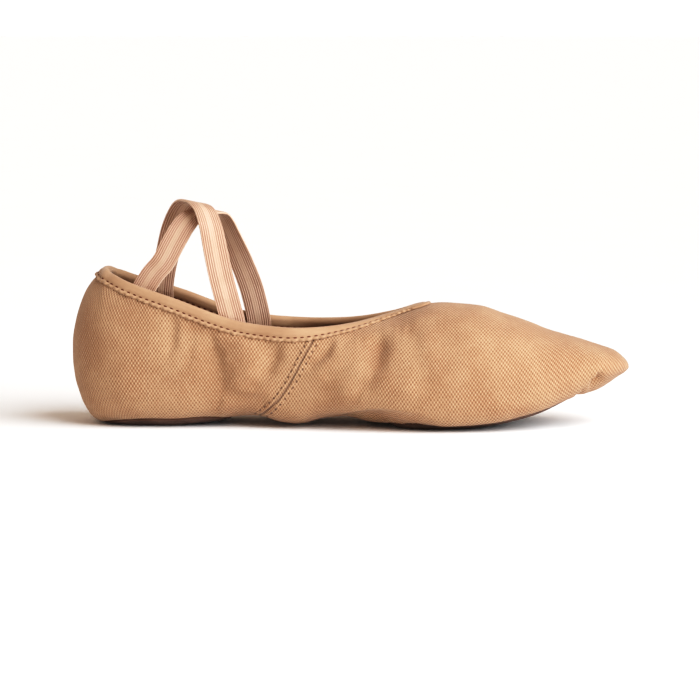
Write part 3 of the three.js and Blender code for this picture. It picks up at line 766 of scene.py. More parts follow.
def egg_distance(outline, x, y):
    """How far places lie outside an egg-shaped outline, less than 0 inside it."""
    behind = x < outline["centre"]
    away_x = np.abs(x - outline["centre"]) / np.where(behind, outline["back"], outline["front"])
    power = np.where(behind, outline["back_power"], outline["front_power"])
    reach = (away_x**power + (np.abs(y) / outline["half"]) ** power) ** (1 / power)
    flat = np.hypot(x - outline["centre"], y)
    return flat - flat / np.maximum(reach, 1e-9)


def roll_depth(points):
    """How far the canvas bulges out round the edges of the soles that hold it."""
    x, y, z = points[..., 0], points[..., 1], points[..., 2]
    (bottom,) = section(x, "bottom")
    roll = np.zeros_like(x)
    for outline, proud in ((FOREFOOT_SOLE, FOREFOOT_ROLL), (HEEL_SOLE, HEEL_ROLL)):
        away = egg_distance(outline, x, y)
        rise = smoothstep(away, *ROLL_START) * (1 - smoothstep(away, *ROLL_END))
        roll = np.maximum(roll, proud * rise)
    return roll * (1 - smoothstep(z - bottom, *ROLL_FADE))


def folded(points, normals):
    """The skin with its folds, tucks and rolls. Over the soles it stays where they hold it."""
    x, y, z = points[..., 0], points[..., 1], points[..., 2]
    at_toe = x > TOE_PLEATS_FROM * LENGTH
    held = np.where(at_toe, 1.0, smoothstep(z - ground_at(x), *FOLD_OFF_SOLE))
    off_sole = np.minimum(egg_distance(FOREFOOT_SOLE, x, y), egg_distance(HEEL_SOLE, x, y))
    pleated = smoothstep(off_sole, *PLEAT_OFF_SOLE) * (1 - smoothstep(-normals[..., 2], *PLEAT_FACING_DOWN))
    sunk = fold_depth(points) * held * np.where(at_toe, pleated, 1)
    moved = points + normals * (roll_depth(points) - sunk)[..., None]
    moved[..., 2] = np.maximum(moved[..., 2], LEAST_HEIGHT)
    return moved, sunk


# Materials

class Finish:
    """A material's node tree, built up by small named steps."""

    def __init__(self, name, **sockets):
        self.material = bpy.data.materials.new(name)
        self.material.use_nodes = True
        self.tree = self.material.node_tree
        self.shader = self.tree.nodes["Principled BSDF"]
        for socket, value in sockets.items():
            self.shader.inputs[socket.replace("_", " ")].default_value = value

    def add(self, kind, *inputs, **settings):
        node = self.tree.nodes.new(kind)
        for key, value in settings.items():
            setattr(node, key, value)
        for place, value in enumerate(inputs):
            self.plug(value, node.inputs[place])
        return node

    def plug(self, value, socket):
        if value is None:
            return
        if isinstance(value, bpy.types.NodeSocket):
            self.tree.links.new(value, socket)
        else:
            socket.default_value = value

    def maths(self, operation, a, b=None, c=None):
        return self.add("ShaderNodeMath", a, b, c, operation=operation).outputs[0]

    def ramp(self, value, low, high, to_low=0.0, to_high=1.0):
        span = (value, low, high, to_low, to_high)
        return self.add("ShaderNodeMapRange", *span, interpolation_type="SMOOTHSTEP").outputs[0]

    def cloth_lengths(self):
        """The piece's own lengths along and across, in millimetres."""
        spot = self.add("ShaderNodeUVMap", uv_map="cloth").outputs[0]
        parts = self.add("ShaderNodeSeparateXYZ", spot)
        return parts.outputs[0], parts.outputs[1]

    def place(self):
        """Object coordinates in millimetres."""
        spot = self.add("ShaderNodeTexCoord").outputs["Object"]
        return self.add("ShaderNodeVectorMath", spot, (1000, 1000, 1000), operation="MULTIPLY").outputs[0]

    def noise(self, where, scale, detail=3.0, roughness=0.5):
        node = self.add("ShaderNodeTexNoise", noise_dimensions="3D")
        self.plug(where, node.inputs["Vector"])
        node.inputs["Scale"].default_value = scale
        node.inputs["Detail"].default_value = detail
        node.inputs["Roughness"].default_value = roughness
        return node.outputs[0]

    def blend(self, share, first, second):
        node = self.add("ShaderNodeMix", data_type="RGBA")
        self.plug(share, node.inputs["Factor"])
        self.plug(first, node.inputs[6])
        self.plug(second, node.inputs[7])
        return node.outputs[2]

    def bump(self, height, distance):
        node = self.add("ShaderNodeBump")
        node.inputs["Strength"].default_value = 1.0
        node.inputs["Distance"].default_value = distance * 0.001
        self.plug(height, node.inputs["Height"])
        return node.outputs[0]

    def finish(self, colour, roughness=None, normal=None):
        self.plug(colour, self.shader.inputs["Base Color"])
        self.plug(roughness, self.shader.inputs["Roughness"])
        self.plug(normal, self.shader.inputs["Normal"])
        return self.material


def tint(red, green, blue, light=1.8):
    """A colour as it looks from 0 to 255 where so much more light falls on it than on white."""
    def linear(value):
        value /= 255
        return value / 12.92 if value <= 0.04045 else ((value + 0.055) / 1.055) ** 2.4

    return (linear(red) / light, linear(green) / light, linear(blue) / light, 1.0)


CANVAS_LIGHT = tint(222, 175, 136)
CANVAS_DEEP = tint(206, 156, 118)
CANVAS_FLOAT = tint(252, 212, 174)
CANVAS_GAP = tint(146, 100, 68)
# Painted shade: the canvas deep in its folds
CANVAS_FOLD_SHADE = tint(186, 126, 90)
THREAD_HOLE = tint(92, 48, 24)
BINDING_COLOUR = tint(228, 184, 146)
BINDING_SHADE = tint(216, 170, 132)
ELASTIC_LIGHT = tint(250, 212, 184, light=1.42)
# The elastic between its yarns, and its painted shade in the grooves between its ribs
ELASTIC_GAP_AND_GROOVE_SHADE = tint(158, 74, 50)
SUEDE_COLOUR = tint(112, 78, 60)
SUEDE_WORN = tint(140, 104, 84)
SUEDE_NAP = tint(86, 58, 44)
# Painted shade: the lining is darker and redder than the canvas, standing in for the shade and warm bounced
# light inside the slipper. Its two tones vary at random.
LINING_PAINTED_SHADE_PALE = tint(192, 98, 58)
LINING_PAINTED_SHADE_DARK = tint(172, 84, 48)
SOCK_COLOUR = tint(190, 150, 118)
THREAD_COLOUR = tint(142, 70, 30)
FLOOR_COLOUR = tint(252, 252, 252, light=1)
FLOOR_PATCHES = tint(253, 253, 253, light=1)

# Yarns from one to the next, in millimetres
WEAVE_ALONG = 0.72
WEAVE_UP = 1.05
BINDING_YARN = 0.42
ELASTIC_YARN = 0.42
ELASTIC_PICK = 0.75


def weave(make, along_cloth, up_cloth, pitch_along, pitch_up):
    """Height of a plain weave, 0 between the yarns and 1 on top of a float."""
    a = make.maths("SINE", make.maths("MULTIPLY", along_cloth, math.pi / pitch_along))
    b = make.maths("SINE", make.maths("MULTIPLY", up_cloth, math.pi / pitch_up))
    floats = make.maths("MULTIPLY", a, b)
    return make.maths("MULTIPLY_ADD", floats, 0.5, 0.5)


def canvas_finish():
    make = Finish("canvas", Roughness=0.9, Sheen_Weight=0.12, Sheen_Roughness=0.5)
    along_cloth, up_cloth = make.cloth_lengths()
    where = make.place()
    wobble = make.noise(where, 0.015, 1)
    along_cloth = make.maths("MULTIPLY_ADD", wobble, 5, along_cloth)
    up_cloth = make.maths("MULTIPLY_ADD", wobble, -4, up_cloth)
    yarns = weave(make, along_cloth, up_cloth, WEAVE_ALONG, WEAVE_UP)
    slubs = make.noise(where, 0.9, 4, 0.6)
    patches = make.noise(where, 0.06, 3)
    colour = make.blend(make.ramp(patches, 0.35, 0.65), CANVAS_DEEP, CANVAS_LIGHT)
    sunk = make.add("ShaderNodeAttribute", attribute_name="sunk").outputs["Fac"]
    # Painted shade: the canvas turns darker and redder where its folds run deep
    colour = make.blend(make.ramp(sunk, 0.8, 4.0, 0.0, 0.3), colour, CANVAS_FOLD_SHADE)
    worn = make.ramp(make.noise(where, 0.55, 2, 0.7), 0.35, 0.65, 0.45, 1.0)
    floats = make.maths("MULTIPLY", make.ramp(yarns, 0.55, 0.95, 0.0, 0.9), worn)
    colour = make.blend(floats, colour, CANVAS_FLOAT)
    lost = make.ramp(slubs, 0.35, 0.65, 0.45, 0.95)
    gaps = make.maths("MULTIPLY", make.ramp(yarns, 0.46, 0.02), lost)
    colour = make.blend(gaps, colour, CANVAS_GAP)

    seam = make.add("ShaderNodeAttribute", attribute_name="seams").outputs["Vector"]
    parts = make.add("ShaderNodeSeparateXYZ", seam)
    across, along_seam, from_back = parts.outputs[0], parts.outputs[1], parts.outputs[2]
    off_seam = make.maths("ABSOLUTE", across)
    line = make.ramp(off_seam, 0.45, 0.1)
    off_back = make.maths("ABSOLUTE", from_back)
    back_line = make.ramp(off_back, 1.7, 0.6)
    off_row = make.maths("ABSOLUTE", make.maths("SUBTRACT", off_seam, SEAM_STITCH_OFFSET))
    beat = make.maths("SINE", make.maths("MULTIPLY", along_seam, 2 * math.pi / SEAM_STITCH_PITCH))
    hole = make.maths("MULTIPLY", make.ramp(off_row, 0.5, 0.2), make.ramp(beat, 0.2, 0.75))
    welt = make.maths("MULTIPLY", make.ramp(off_seam, 2.6, 1.4), make.ramp(off_seam, 0.2, 0.6))
    dark = make.maths("MAXIMUM", make.maths("MULTIPLY", line, 0.5), make.maths("MULTIPLY", hole, 0.6))
    dark = make.maths("MAXIMUM", dark, make.maths("MULTIPLY", back_line, 0.85))
    colour = make.blend(dark, colour, THREAD_HOLE)

    height = make.maths("MULTIPLY_ADD", slubs, 0.35, yarns)
    height = make.maths("MULTIPLY_ADD", welt, 1.6, height)
    height = make.maths("MULTIPLY_ADD", dark, -2.4, height)
    normal = make.bump(height, 0.26)
    return make.finish(colour, make.ramp(slubs, 0.2, 0.8, 0.82, 0.97), normal)


def lining_finish(name, light, shade):
    make = Finish(name, Roughness=0.93, Sheen_Weight=0.12)
    where = make.place()
    fuzz = make.noise(where, 1.1, 4, 0.65)
    patches = make.noise(where, 0.04, 2)
    colour = make.blend(make.ramp(patches, 0.3, 0.7), shade, light)
    return make.finish(colour, None, make.bump(fuzz, 0.25))


def binding_finish():
    make = Finish("binding_cloth", Roughness=0.78, Sheen_Weight=0.25, Sheen_Roughness=0.4)
    along_cloth, up_cloth = make.cloth_lengths()
    where = make.place()
    one_bias = make.maths("ADD", along_cloth, up_cloth)
    other_bias = make.maths("SUBTRACT", along_cloth, up_cloth)
    fine = weave(make, one_bias, other_bias, BINDING_YARN, BINDING_YARN)
    patches = make.noise(where, 0.09, 3)
    fibres = make.noise(where, 3.0, 3, 0.6)
    colour = make.blend(make.ramp(patches, 0.3, 0.7), BINDING_SHADE, BINDING_COLOUR)
    colour = make.blend(make.ramp(fine, 0.5, 0.0, 0.0, 0.14), colour, CANVAS_GAP)
    height = make.maths("MULTIPLY_ADD", fibres, 0.8, fine)
    return make.finish(colour, make.ramp(patches, 0.2, 0.8, 0.7, 0.85), make.bump(height, 0.07))


def elastic_finish():
    make = Finish("elastic", Roughness=0.6, Sheen_Weight=0.3, Sheen_Roughness=0.35)
    along_cloth, across_cloth = make.cloth_lengths()
    where = make.place()
    picks = make.maths("SINE", make.maths("MULTIPLY", along_cloth, 2 * math.pi / ELASTIC_PICK))
    yarns = make.maths("SINE", make.maths("MULTIPLY", across_cloth, 2 * math.pi / ELASTIC_YARN))
    fine = make.maths("MULTIPLY_ADD", make.maths("MULTIPLY", picks, yarns), 0.5, 0.5)
    deep = make.add("ShaderNodeAttribute", attribute_name="groove").outputs["Fac"]
    patches = make.noise(where, 0.08, 3)
    colour = make.blend(make.ramp(patches, 0.3, 0.7, 0.0, 0.35), ELASTIC_LIGHT, BINDING_COLOUR)
    colour = make.blend(make.ramp(fine, 0.5, 0.0, 0.0, 0.3), colour, ELASTIC_GAP_AND_GROOVE_SHADE)
    # Painted shade: darker, redder elastic in the grooves between its ribs
    colour = make.blend(make.maths("MULTIPLY", deep, 0.85), colour, ELASTIC_GAP_AND_GROOVE_SHADE)
    return make.finish(colour, None, make.bump(fine, 0.08))


def suede_finish():
    make = Finish("suede", Roughness=0.95, Sheen_Weight=0.05, Sheen_Roughness=0.6)
    where = make.place()
    nap = make.noise(where, 2.2, 5, 0.7)
    worn = make.noise(where, 0.06, 4, 0.6)
    colour = make.blend(make.ramp(worn, 0.35, 0.7), SUEDE_COLOUR, SUEDE_WORN)
    colour = make.blend(make.ramp(nap, 0.3, 0.7, 0.0, 0.35), colour, SUEDE_NAP)
    return make.finish(colour, make.ramp(worn, 0.3, 0.75, 0.97, 0.75), make.bump(nap, 0.3))


def thread_finish():
    make = Finish("thread", Roughness=0.55)
    twist = make.noise(make.place(), 6.0, 2)
    colour = make.blend(make.ramp(twist, 0.3, 0.7), THREAD_COLOUR, THREAD_HOLE)
    return make.finish(colour, None, make.bump(twist, 0.05))


CANVAS = canvas_finish()
# The lining's colours are painted shade; the sock's darker random patches take the paler of them
LINING = lining_finish("lining", LINING_PAINTED_SHADE_PALE, LINING_PAINTED_SHADE_DARK)
SOCK = lining_finish("sock_lining", SOCK_COLOUR, LINING_PAINTED_SHADE_PALE)
BINDING = binding_finish()
ELASTIC = elastic_finish()
SUEDE = suede_finish()
THREAD = thread_finish()


def dress(piece, slot, *materials):
    """Gives a piece its materials and its body. Its slot is not used."""
    piece.data.materials.clear()
    for material in materials:
        piece.data.materials.append(material)
    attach(piece, "root")


# The canvas upper

def seam_line():
    at = column(SIDE_SEAM, "at") * LENGTH
    up = column(SIDE_SEAM, "up") * VAMP_HEIGHT
    return np.stack([at, up], axis=1)


def seam_places(points):
    """Across and along the side seam, and across the seam at the centre back, for each place."""
    line = seam_line()
    x, y, z = points[..., 0], points[..., 1], points[..., 2]
    best = np.full(x.shape, np.inf)
    across = np.full(x.shape, FAR_FROM_SEAM)
    run_along = np.zeros(x.shape)
    before = 0.0
    for start, end in zip(line[:-1], line[1:]):
        run = end - start
        length = np.hypot(*run)
        share = ((x - start[0]) * run[0] + (z - start[1]) * run[1]) / length**2
        kept = np.clip(share, 0, 1)
        away_x = x - start[0] - run[0] * kept
        away_z = z - start[1] - run[1] * kept
        away = np.hypot(away_x, away_z)
        nearer = away < best
        signed = away * np.sign(run[1] * away_x - run[0] * away_z)
        across = np.where(nearer, signed, across)
        run_along = np.where(nearer, before + kept * length, run_along)
        best = np.where(nearer, away, best)
        before += length
    from_back = np.where(x < HEEL_SOLE["centre"], y, FAR_FROM_SEAM)
    return np.stack([across, run_along, from_back], axis=-1)


def build_upper():
    far = half_skin()
    girth = arc_lengths(far, 1)
    rise = girth - girth[:, UNDER_ROWS:UNDER_ROWS + 1]
    middle_row = UPPER_ROWS // 2
    walk = arc_lengths(far[:, middle_row:middle_row + 1], 0)
    walk = np.repeat(walk, UPPER_ROWS + 1, axis=1)
    near = far * np.array([1, -1, 1])
    points = np.concatenate([far[:0:-1], near])
    cloth = np.stack([walk, rise], axis=-1)
    uv = np.concatenate([cloth[:0:-1], cloth])
    normals = grid_normals(points)
    seams = seam_places(points)
    points, sunk = folded(points, normals)
    piece = lay_grid("canvas_upper", points, uv)
    mark = piece.data.attributes.new("seams", "FLOAT_VECTOR", "POINT")
    mark.data.foreach_set("vector", seams.transpose(1, 0, 2).astype(np.float32).ravel())
    # How deep the folds run, which the canvas finish uses to paint shade into them
    mark = piece.data.attributes.new("sunk", "FLOAT", "POINT")
    mark.data.foreach_set("value", sunk.T.astype(np.float32).ravel())
    mend(piece, reach=1e-5, drop_empty=True)
    # The inner faces take the lining, whose colour is painted shade
    thicken(piece, WALL, material_offset=1)
    bpy.ops.object.shade_smooth()
    dress(piece, "canvas", CANVAS, LINING)
    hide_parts("upper")


# The binding round the collar

def collar_loop(count):
    share = (1 - np.cos(np.pi * np.linspace(0, 1, COLLAR_STATIONS + 1))) / 2
    half = collar_at(mix(COLLAR["back"], COLLAR["throat"], share))
    other = half[::-1] * np.array([1, -1, 1])
    return evenly(np.concatenate([half, other[1:]]), count)


def collar_frames(loop):
    """Along, outward and down at each place of the closed collar loop."""
    ring = loop[:-1]
    run = unit(np.roll(ring, -1, axis=0) - np.roll(ring, 1, axis=0))
    out = outward(ring)
    down = unit(np.cross(out, run))
    return ring, out, down


def on_collar(ring, out, down, below, offset):
    """Places on the binding: so far below the canvas edge, and so far off the wall's middle."""
    below = np.broadcast_to(below, len(ring))[:, None]
    offset = np.broadcast_to(offset, len(ring))[:, None]
    spot = ring + down * below
    skin = on_skin(spot)
    spot = np.where(below > 0, skin, spot)
    out = np.where(below > 0, outward(skin), out)
    return spot + out * (offset - WALL / 2)


def puckers(walk):
    """How the tape's free edge is drawn up between its stitches, from -1 to 1."""
    beat = np.sin(walk * 2 * math.pi / BINDING_STITCH_PITCH)
    short, long = (walk * 2 * math.pi / length for length in PUCKER_LENGTHS)
    drift = np.sin(short + 1.6 * np.sin(long))
    return 0.55 * beat + 0.45 * drift


def binding_profile():
    """The tape in section, from its outer lower edge over the fold to its inner lower edge."""
    face = BINDING_FOLD + BINDING_THICKNESS
    outer = [
        (BINDING_LEG + 0.05, BINDING_FOLD - 0.2),
        (BINDING_LEG + 0.1, BINDING_FOLD + 0.15),
        (BINDING_LEG - 0.1, BINDING_FOLD + 0.5),
        (BINDING_LEG - 0.5, BINDING_FOLD + 0.68),
        (BINDING_LEG - 0.95, BINDING_FOLD + 0.55),
        (BINDING_LEG - 1.35, BINDING_FOLD + 0.3),
        (BINDING_LEG - 1.65, BINDING_FOLD + 0.3),
        (BINDING_LEG - 2.1, BINDING_FOLD + 0.62),
        (BINDING_LEG - 2.7, face - 0.08),
        (BINDING_LEG - 3.3, face),
        (0.45, face),
    ]
    turns = [math.pi * k / 12 for k in range(13)]
    fold = [(-face * math.sin(turn), face * math.cos(turn)) for turn in turns]
    inner = [(below, -offset) for below, offset in reversed(outer)]
    lining = BINDING_FOLD - 0.1
    hidden = [(BINDING_LEG * 0.5, -lining), (-0.3, 0.0), (BINDING_LEG * 0.5, lining)]
    return outer + fold + inner + hidden


def build_binding():
    ring, out, down = collar_frames(collar_loop(BINDING_STATIONS))
    profile = binding_profile()
    around = profile + profile[:1]
    drawn = puckers(arc_lengths(ring, 0))
    rows = []
    for below, offset in around:
        free = smoothstep(below, BINDING_LEG - 1.5, BINDING_LEG - 0.7)
        drop = below + PUCKER_RISE * drawn * free
        rows.append(on_collar(ring, out, down, drop, offset * (1 + PUCKER_SWELL * drawn * free)))
    rows = np.stack(rows, axis=1)
    rows = np.concatenate([rows, rows[:1]])
    lengths = arc_lengths(rows, 1)
    walk = np.repeat(arc_lengths(rows[:, :1], 0), len(around), axis=1)
    piece = lay_grid("binding_tape", rows[::-1], np.stack([walk, lengths], axis=-1)[::-1], close=0.002)
    dress(piece, "binding_cloth", BINDING)
    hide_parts("collar_binding")


def stitch_row(name, places, runs, outs, size):
    """One thread stitch, modelled once and copied along a line, joined to one piece."""
    bpy.ops.object.select_all(action="DESELECT")
    bpy.ops.mesh.primitive_uv_sphere_add(segments=8, ring_count=6, radius=0.5)
    pattern = bpy.context.object
    flat = np.empty(len(pattern.data.vertices) * 3, np.float32)
    pattern.data.vertices.foreach_get("co", flat)
    shape = flat.reshape(-1, 3) * np.array(size)
    faces = [tuple(face.vertices) for face in pattern.data.polygons]
    bpy.data.objects.remove(pattern)
    mesh = bpy.data.meshes.new(name)
    spots = []
    joined = []
    for place, run, out in zip(places, runs, outs):
        across = np.cross(out, run)
        start = len(spots) * len(shape)
        spots.append(place + shape[:, :1] * run + shape[:, 1:2] * across + shape[:, 2:] * out)
        joined.extend(tuple(v + start for v in face) for face in faces)
    spots = (np.concatenate(spots) - np.array([LENGTH / 2, 0, 0])) * 0.001
    mesh.from_pydata(spots.tolist(), [], joined)
    piece = bpy.data.objects.new(name, mesh)
    bpy.context.scene.collection.objects.link(piece)
    select_only(piece)
    bpy.ops.object.shade_smooth()
    dress(piece, "binding_cloth", THREAD)


def build_binding_stitches():
    loop = collar_loop(2400)
    step = np.linalg.norm(loop[1] - loop[0])
    count = int(len(loop) * step / BINDING_STITCH_PITCH)
    chosen = (np.arange(count) * (len(loop) - 1) / count).astype(int)
    ring, out, down = collar_frames(loop)
    ring, out, down = ring[chosen], out[chosen], down[chosen]
    for side, name in ((1, "binding_stitches_outside"), (-1, "binding_stitches_inside")):
        offset = side * (BINDING_FOLD + BINDING_STITCH_RISE)
        places = on_collar(ring, out, down, BINDING_LEG - BINDING_STITCH_MARGIN, offset)
        runs = unit(np.roll(places, -1, axis=0) - np.roll(places, 1, axis=0))
        size = (BINDING_STITCH_LENGTH, BINDING_STITCH_WIDTH, BINDING_STITCH_HEIGHT)
        stitch_row(name, places, runs, outward(places) * side, size)


# The elastics

def sewn_at(at, side, depth):
    edge = collar_at(np.array([at]))
    on = on_skin(edge - np.array([0, 0, depth]))
    out = outward(on)
    hollow = STRAP_WIDTH**2 / (4 * HEEL_WIDTH)
    inside = WALL + BINDING_THICKNESS + 2 * CLEARANCE + STRAP_THICKNESS / 2 + hollow
    flip = np.array([1, side, 1])
    return ((on - out * inside) * flip)[0], (out * flip)[0]


def smooth_curve(points, steps):
    """A centripetal curve through points, with so many steps from each to the next."""
    made = []
    last = len(points) - 1
    for i in range(last):
        p1, p2 = points[i], points[i + 1]
        p0 = points[i - 1] if i > 0 else 2 * p1 - p2
        p3 = points[i + 2] if i + 2 <= last else 2 * p2 - p1
        steps_between = ((p0, p1), (p1, p2), (p2, p3))
        d0, d1, d2 = (max(np.linalg.norm(b - a), 1e-4) ** 0.5 for a, b in steps_between)
        start = ((p1 - p0) / d0 - (p2 - p0) / (d0 + d1) + (p2 - p1) / d1) * d1
        end = ((p2 - p1) / d1 - (p3 - p1) / (d1 + d2) + (p3 - p2) / d2) * d1
        for k in range(steps):
            t = k / steps
            s = 1 - t
            spot = p1 * s * s * (1 + 2 * t) + p2 * t * t * (3 - 2 * t)
            made.append(spot + start * t * s * s - end * t * t * s)
    made.append(points[last])
    return np.array(made)


def strap_frames(strap):
    (from_at, from_side), (to_at, to_side) = strap["from"], strap["to"]
    near_edge = collar_at(np.array([from_at]))[0, 2]
    far_edge = collar_at(np.array([to_at]))[0, 2]
    spots = []
    outs = []
    for depth in (STRAP_TAIL, STRAP_TAIL / 2, 0):
        spot, out = sewn_at(from_at, from_side, depth)
        spots.append(spot)
        outs.append(out)
    near_out = sewn_at(from_at, from_side, 0)[1]
    far_out = sewn_at(to_at, to_side, 0)[1]
    for at, side, rise in strap["path"]:
        height = mix(near_edge if side < 0 else far_edge, STRAP_HEIGHT, rise)
        spot = np.array([at * LENGTH, side * HEEL_WIDTH / 2, height])
        spots.append(spot)
        free = unit(np.array([STRAP_LEAN * rise, spot[1], (spot[2] - VAMP_HEIGHT) * STRAP_CROWN]))
        held = near_out if side < 0 else far_out
        outs.append(unit(mix(held, free, smoothstep(rise, *STRAP_TURN))))
    for depth in (0, STRAP_TAIL / 2, STRAP_TAIL):
        spot, out = sewn_at(to_at, to_side, depth)
        spots.append(spot)
        outs.append(out)
    steps = max(STRAP_STATIONS // (len(spots) - 1), 2)
    middle = smooth_curve(np.array(spots), steps)
    outer = smooth_curve(np.array(spots) + np.array(outs) * STRAP_WIDTH, steps)
    run = unit(np.gradient(middle, axis=0))
    across = unit(np.cross(run, outer - middle))
    return middle, across, unit(np.cross(across, run))


def rib_relief(share):
    """How deep the elastic's face lies under its ribs at shares of its width from the middle."""
    depth = np.zeros_like(share)
    for place, groove in RIB_GROOVES["rows"]:
        depth = np.maximum(depth, groove * np.exp(-(((share - place) / RIB_GROOVE_WIDTH) ** 2)))
    return depth


def build_strap(name, strap):
    middle, across, out = strap_frames(strap)
    share = np.linspace(-0.5, 0.5, STRAP_ROWS + 1)
    groove = rib_relief(share)
    rounded = np.sqrt(np.clip(1 - (np.abs(share) * 2) ** 14, 0, 1))
    half = STRAP_THICKNESS / 2 * (0.55 + 0.45 * rounded) - RIB_GROOVE_DEPTH * groove
    face = middle[:, None] + across[:, None] * (share * STRAP_WIDTH)[None, :, None]
    top = face + out[:, None] * half[None, :, None]
    under = (face - out[:, None] * half[None, :, None])[:, ::-1]
    ring = np.concatenate([top, under, top[:, :1]], axis=1)
    closed = np.concatenate([ring[:1], ring, ring[-1:]])
    closed[0] = closed[0].mean(axis=0)
    closed[-1] = closed[-1].mean(axis=0)
    walk = np.repeat(arc_lengths(middle[:, None], 0), ring.shape[1], axis=1)
    walk = np.concatenate([walk[:1], walk, walk[-1:]])
    wide = np.concatenate([share, share[::-1], share[:1]]) * STRAP_WIDTH
    uv = np.stack([walk, np.broadcast_to(wide, walk.shape)], axis=-1)
    piece = lay_grid(name + "_band", closed, uv)
    marks = np.concatenate([groove, groove[::-1], groove[:1]])
    # How deep the grooves run, which the elastic finish uses to paint shade into them
    mark = piece.data.attributes.new("groove", "FLOAT", "POINT")
    rows = np.repeat(marks[:, None], len(closed), axis=1)
    mark.data.foreach_set("value", rows.astype(np.float32).ravel())
    mend(piece, reach=2e-6, outwards=True)
    dress(piece, "elastic", ELASTIC)
    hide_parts(name)


# Soles and insoles

def build_pad(name, node, slot, outline, top, thickness, edge_thickness, material):
    """A pad along the form's bottom: its upper face so far from the form, and thinner at its edge."""
    reach = np.cos(np.pi * np.arange(SOLE_COLUMNS + 1) / SOLE_COLUMNS)
    x = outline["centre"] - reach * np.where(reach > 0, outline["back"], outline["front"])
    share = np.sin(np.linspace(-1, 1, SOLE_ROWS + 1) * math.pi / 2)
    y = egg_half(outline, x)[:, None] * share[None, :]
    x = np.repeat(x[:, None], SOLE_ROWS + 1, axis=1)
    inside = smoothstep(-egg_distance(outline, x, y), 0, PAD_SKIVE)
    deep = mix(edge_thickness, thickness, inside)
    upper_face = np.stack([x, y, bottom_at(x, y) + top], axis=-1)
    lower_face = upper_face - deep[..., None] * np.array([0, 0, 1.0])
    ring = np.concatenate([upper_face, lower_face[:, ::-1], upper_face[:, :1]], axis=1)
    piece = lay_grid(name, ring, ring[..., :2], close=0.02)
    mend(piece, outwards=True)
    rounding = {"segments": 2, "limit_method": "ANGLE", "angle_limit": math.radians(50)}
    apply_modifier(piece, "BEVEL", width=PAD_BEVEL * 0.001, **rounding)
    bpy.ops.object.shade_smooth_by_angle(angle=math.radians(60))
    dress(piece, slot, material)
    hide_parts(node)
    return piece


# Floor, light and camera

# Sizes and places here are in metres. The world fades from its horizon to its ceiling between
# two shares of the way up, and the key light's turn, height and width are in degrees.
CAMERA_AZIMUTH = math.radians(2.5)
CAMERA_ELEVATION = math.radians(6.5)
CAMERA_DISTANCE = 1.25
CAMERA_AIM_HEIGHT = 0.0315
FIELD_WIDTH = 0.3022
FLOOR_SIZE = 60
HORIZON_TOP = 0.03
CEILING_START = 0.3
HORIZON_COLOUR = (1.1, 1.1, 1.1, 1.0)
CEILING_COLOUR = (0.46, 0.37, 0.3, 1.0)
BOX_PLACE = (0.27, -0.23, 0.24)
BOX_SIZE = 0.28
BOX_POWER = 0.8
KEY_AZIMUTH = 62
KEY_ELEVATION = 36
KEY_SOFTNESS = 60
KEY_POWER = 3.7
KEY_COLOUR = (0.86, 0.94, 1.0)
# The tone curve of the picture: how bright each light shows
TONES = {
    "columns": ("light", "shown"),
    "rows": [
        (0.05, 0.023),
        (0.1, 0.06),
        (0.2, 0.16),
        (0.4, 0.41),
        (0.6, 0.66),
        (0.8, 0.85),
    ],
}


def build_camera():
    data = bpy.data.cameras.new("camera")
    camera = bpy.data.objects.new("camera", data)
    bpy.context.scene.collection.objects.link(camera)
    flat = math.cos(CAMERA_ELEVATION) * CAMERA_DISTANCE
    rise = math.sin(CAMERA_ELEVATION) * CAMERA_DISTANCE
    sideways = math.sin(CAMERA_AZIMUTH) * flat
    back = -math.cos(CAMERA_AZIMUTH) * flat
    camera.location = (sideways, back, CAMERA_AIM_HEIGHT + rise)
    camera.rotation_euler = (math.pi / 2 - CAMERA_ELEVATION, 0, CAMERA_AZIMUTH)
    data.lens = data.sensor_width * CAMERA_DISTANCE / FIELD_WIDTH
    data.clip_start = 0.05
    bpy.context.scene.camera = camera


def build_world():
    """A white cyclorama at the horizon and a dimmer ceiling."""
    world = bpy.data.worlds.new("studio")
    world.use_nodes = True
    tree = world.node_tree
    background = tree.nodes["Background"]
    direction = tree.nodes.new("ShaderNodeTexCoord").outputs["Generated"]
    parts = tree.nodes.new("ShaderNodeSeparateXYZ")
    fade = tree.nodes.new("ShaderNodeMapRange")
    tree.links.new(direction, parts.inputs[0])
    tree.links.new(parts.outputs[2], fade.inputs[0])
    for place, value in enumerate((HORIZON_TOP, CEILING_START), 1):
        fade.inputs[place].default_value = value
    glow = tree.nodes.new("ShaderNodeMix")
    glow.data_type = "RGBA"
    tree.links.new(fade.outputs[0], glow.inputs["Factor"])
    glow.inputs[6].default_value = HORIZON_COLOUR
    glow.inputs[7].default_value = CEILING_COLOUR
    tree.links.new(glow.outputs[2], background.inputs["Color"])
    bpy.context.scene.world = world


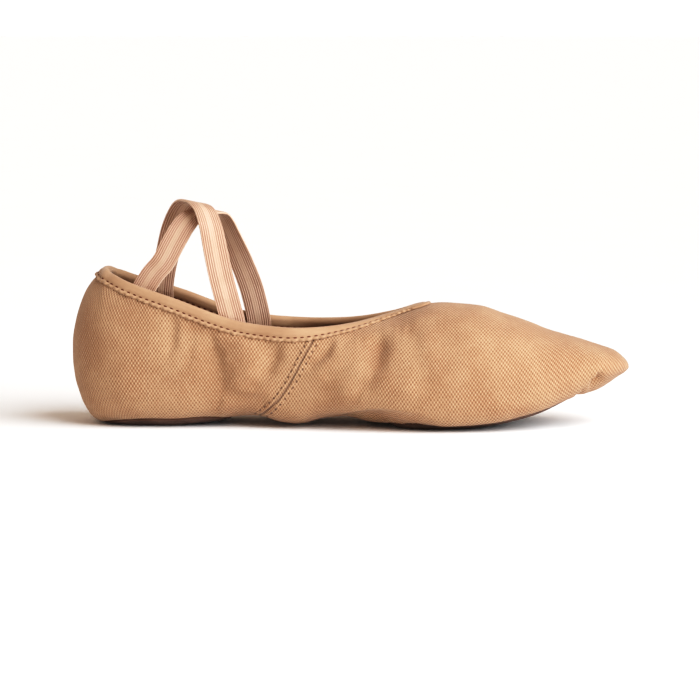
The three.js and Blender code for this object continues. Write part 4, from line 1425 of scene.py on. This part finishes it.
def build_key_light():
    data = bpy.data.lights.new("key", "SUN")
    data.energy = KEY_POWER
    data.color = KEY_COLOUR
    data.angle = math.radians(KEY_SOFTNESS)
    light = bpy.data.objects.new("key", data)
    bpy.context.scene.collection.objects.link(light)
    light.rotation_euler = (math.radians(90 - KEY_ELEVATION), 0, math.radians(KEY_AZIMUTH))


def build_soft_box():
    """A soft box close by on the toe's side, which leaves the heel dimmer."""
    data = bpy.data.lights.new("soft_box", "AREA")
    data.energy = BOX_POWER
    data.size = BOX_SIZE
    light = bpy.data.objects.new("soft_box", data)
    bpy.context.scene.collection.objects.link(light)
    x, y, z = BOX_PLACE
    light.location = BOX_PLACE
    light.visible_camera = False
    light.rotation_euler = (math.atan2(math.hypot(x, y), z), 0, math.atan2(x, -y))


def develop():
    """The picture's own tone curve: richer shades and soft highlights."""
    view = bpy.context.scene.view_settings
    view.view_transform = "Standard"
    view.use_curve_mapping = True
    curve = view.curve_mapping.curves[3]
    for light, shown in TONES["rows"]:
        curve.points.new(light, shown)
    view.curve_mapping.update()


def build_stage():
    bpy.ops.object.select_all(action="DESELECT")
    bpy.ops.mesh.primitive_plane_add(size=FLOOR_SIZE)
    floor = bpy.context.object
    floor.name = "floor"
    make = Finish("floor", Roughness=0.95)
    paper = make.noise(make.place(), 0.02, 2)
    colour = make.blend(make.ramp(paper, 0.3, 0.7), FLOOR_COLOUR, FLOOR_PATCHES)
    floor.data.materials.append(make.finish(colour))
    build_world()
    build_key_light()
    build_soft_box()
    develop()


build_camera()
build_stage()
build_upper()
build_binding()
build_binding_stitches()
for strap_name, strap_way in STRAPS.items():
    build_strap(strap_name, strap_way)
pads = (("forefoot", FOREFOOT_SOLE, FOREFOOT_EDGE), ("heel", HEEL_SOLE, HEEL_EDGE))
for part, outline, edge_thickness in pads:
    build_pad(
        f"suede_{part}", f"{part}_sole", "suede", outline,
        -SOLE_GAP, GROUND - SOLE_GAP, edge_thickness, SUEDE,
    )
    sock = build_pad(
        f"sock_{part}", f"{part}_insole", "lining", grown(outline, -INSOLE_MARGIN),
        WALL + INSOLE_CLEARANCE + INSOLE_THICKNESS, INSOLE_THICKNESS, SOCK_EDGE, SOCK,
    )
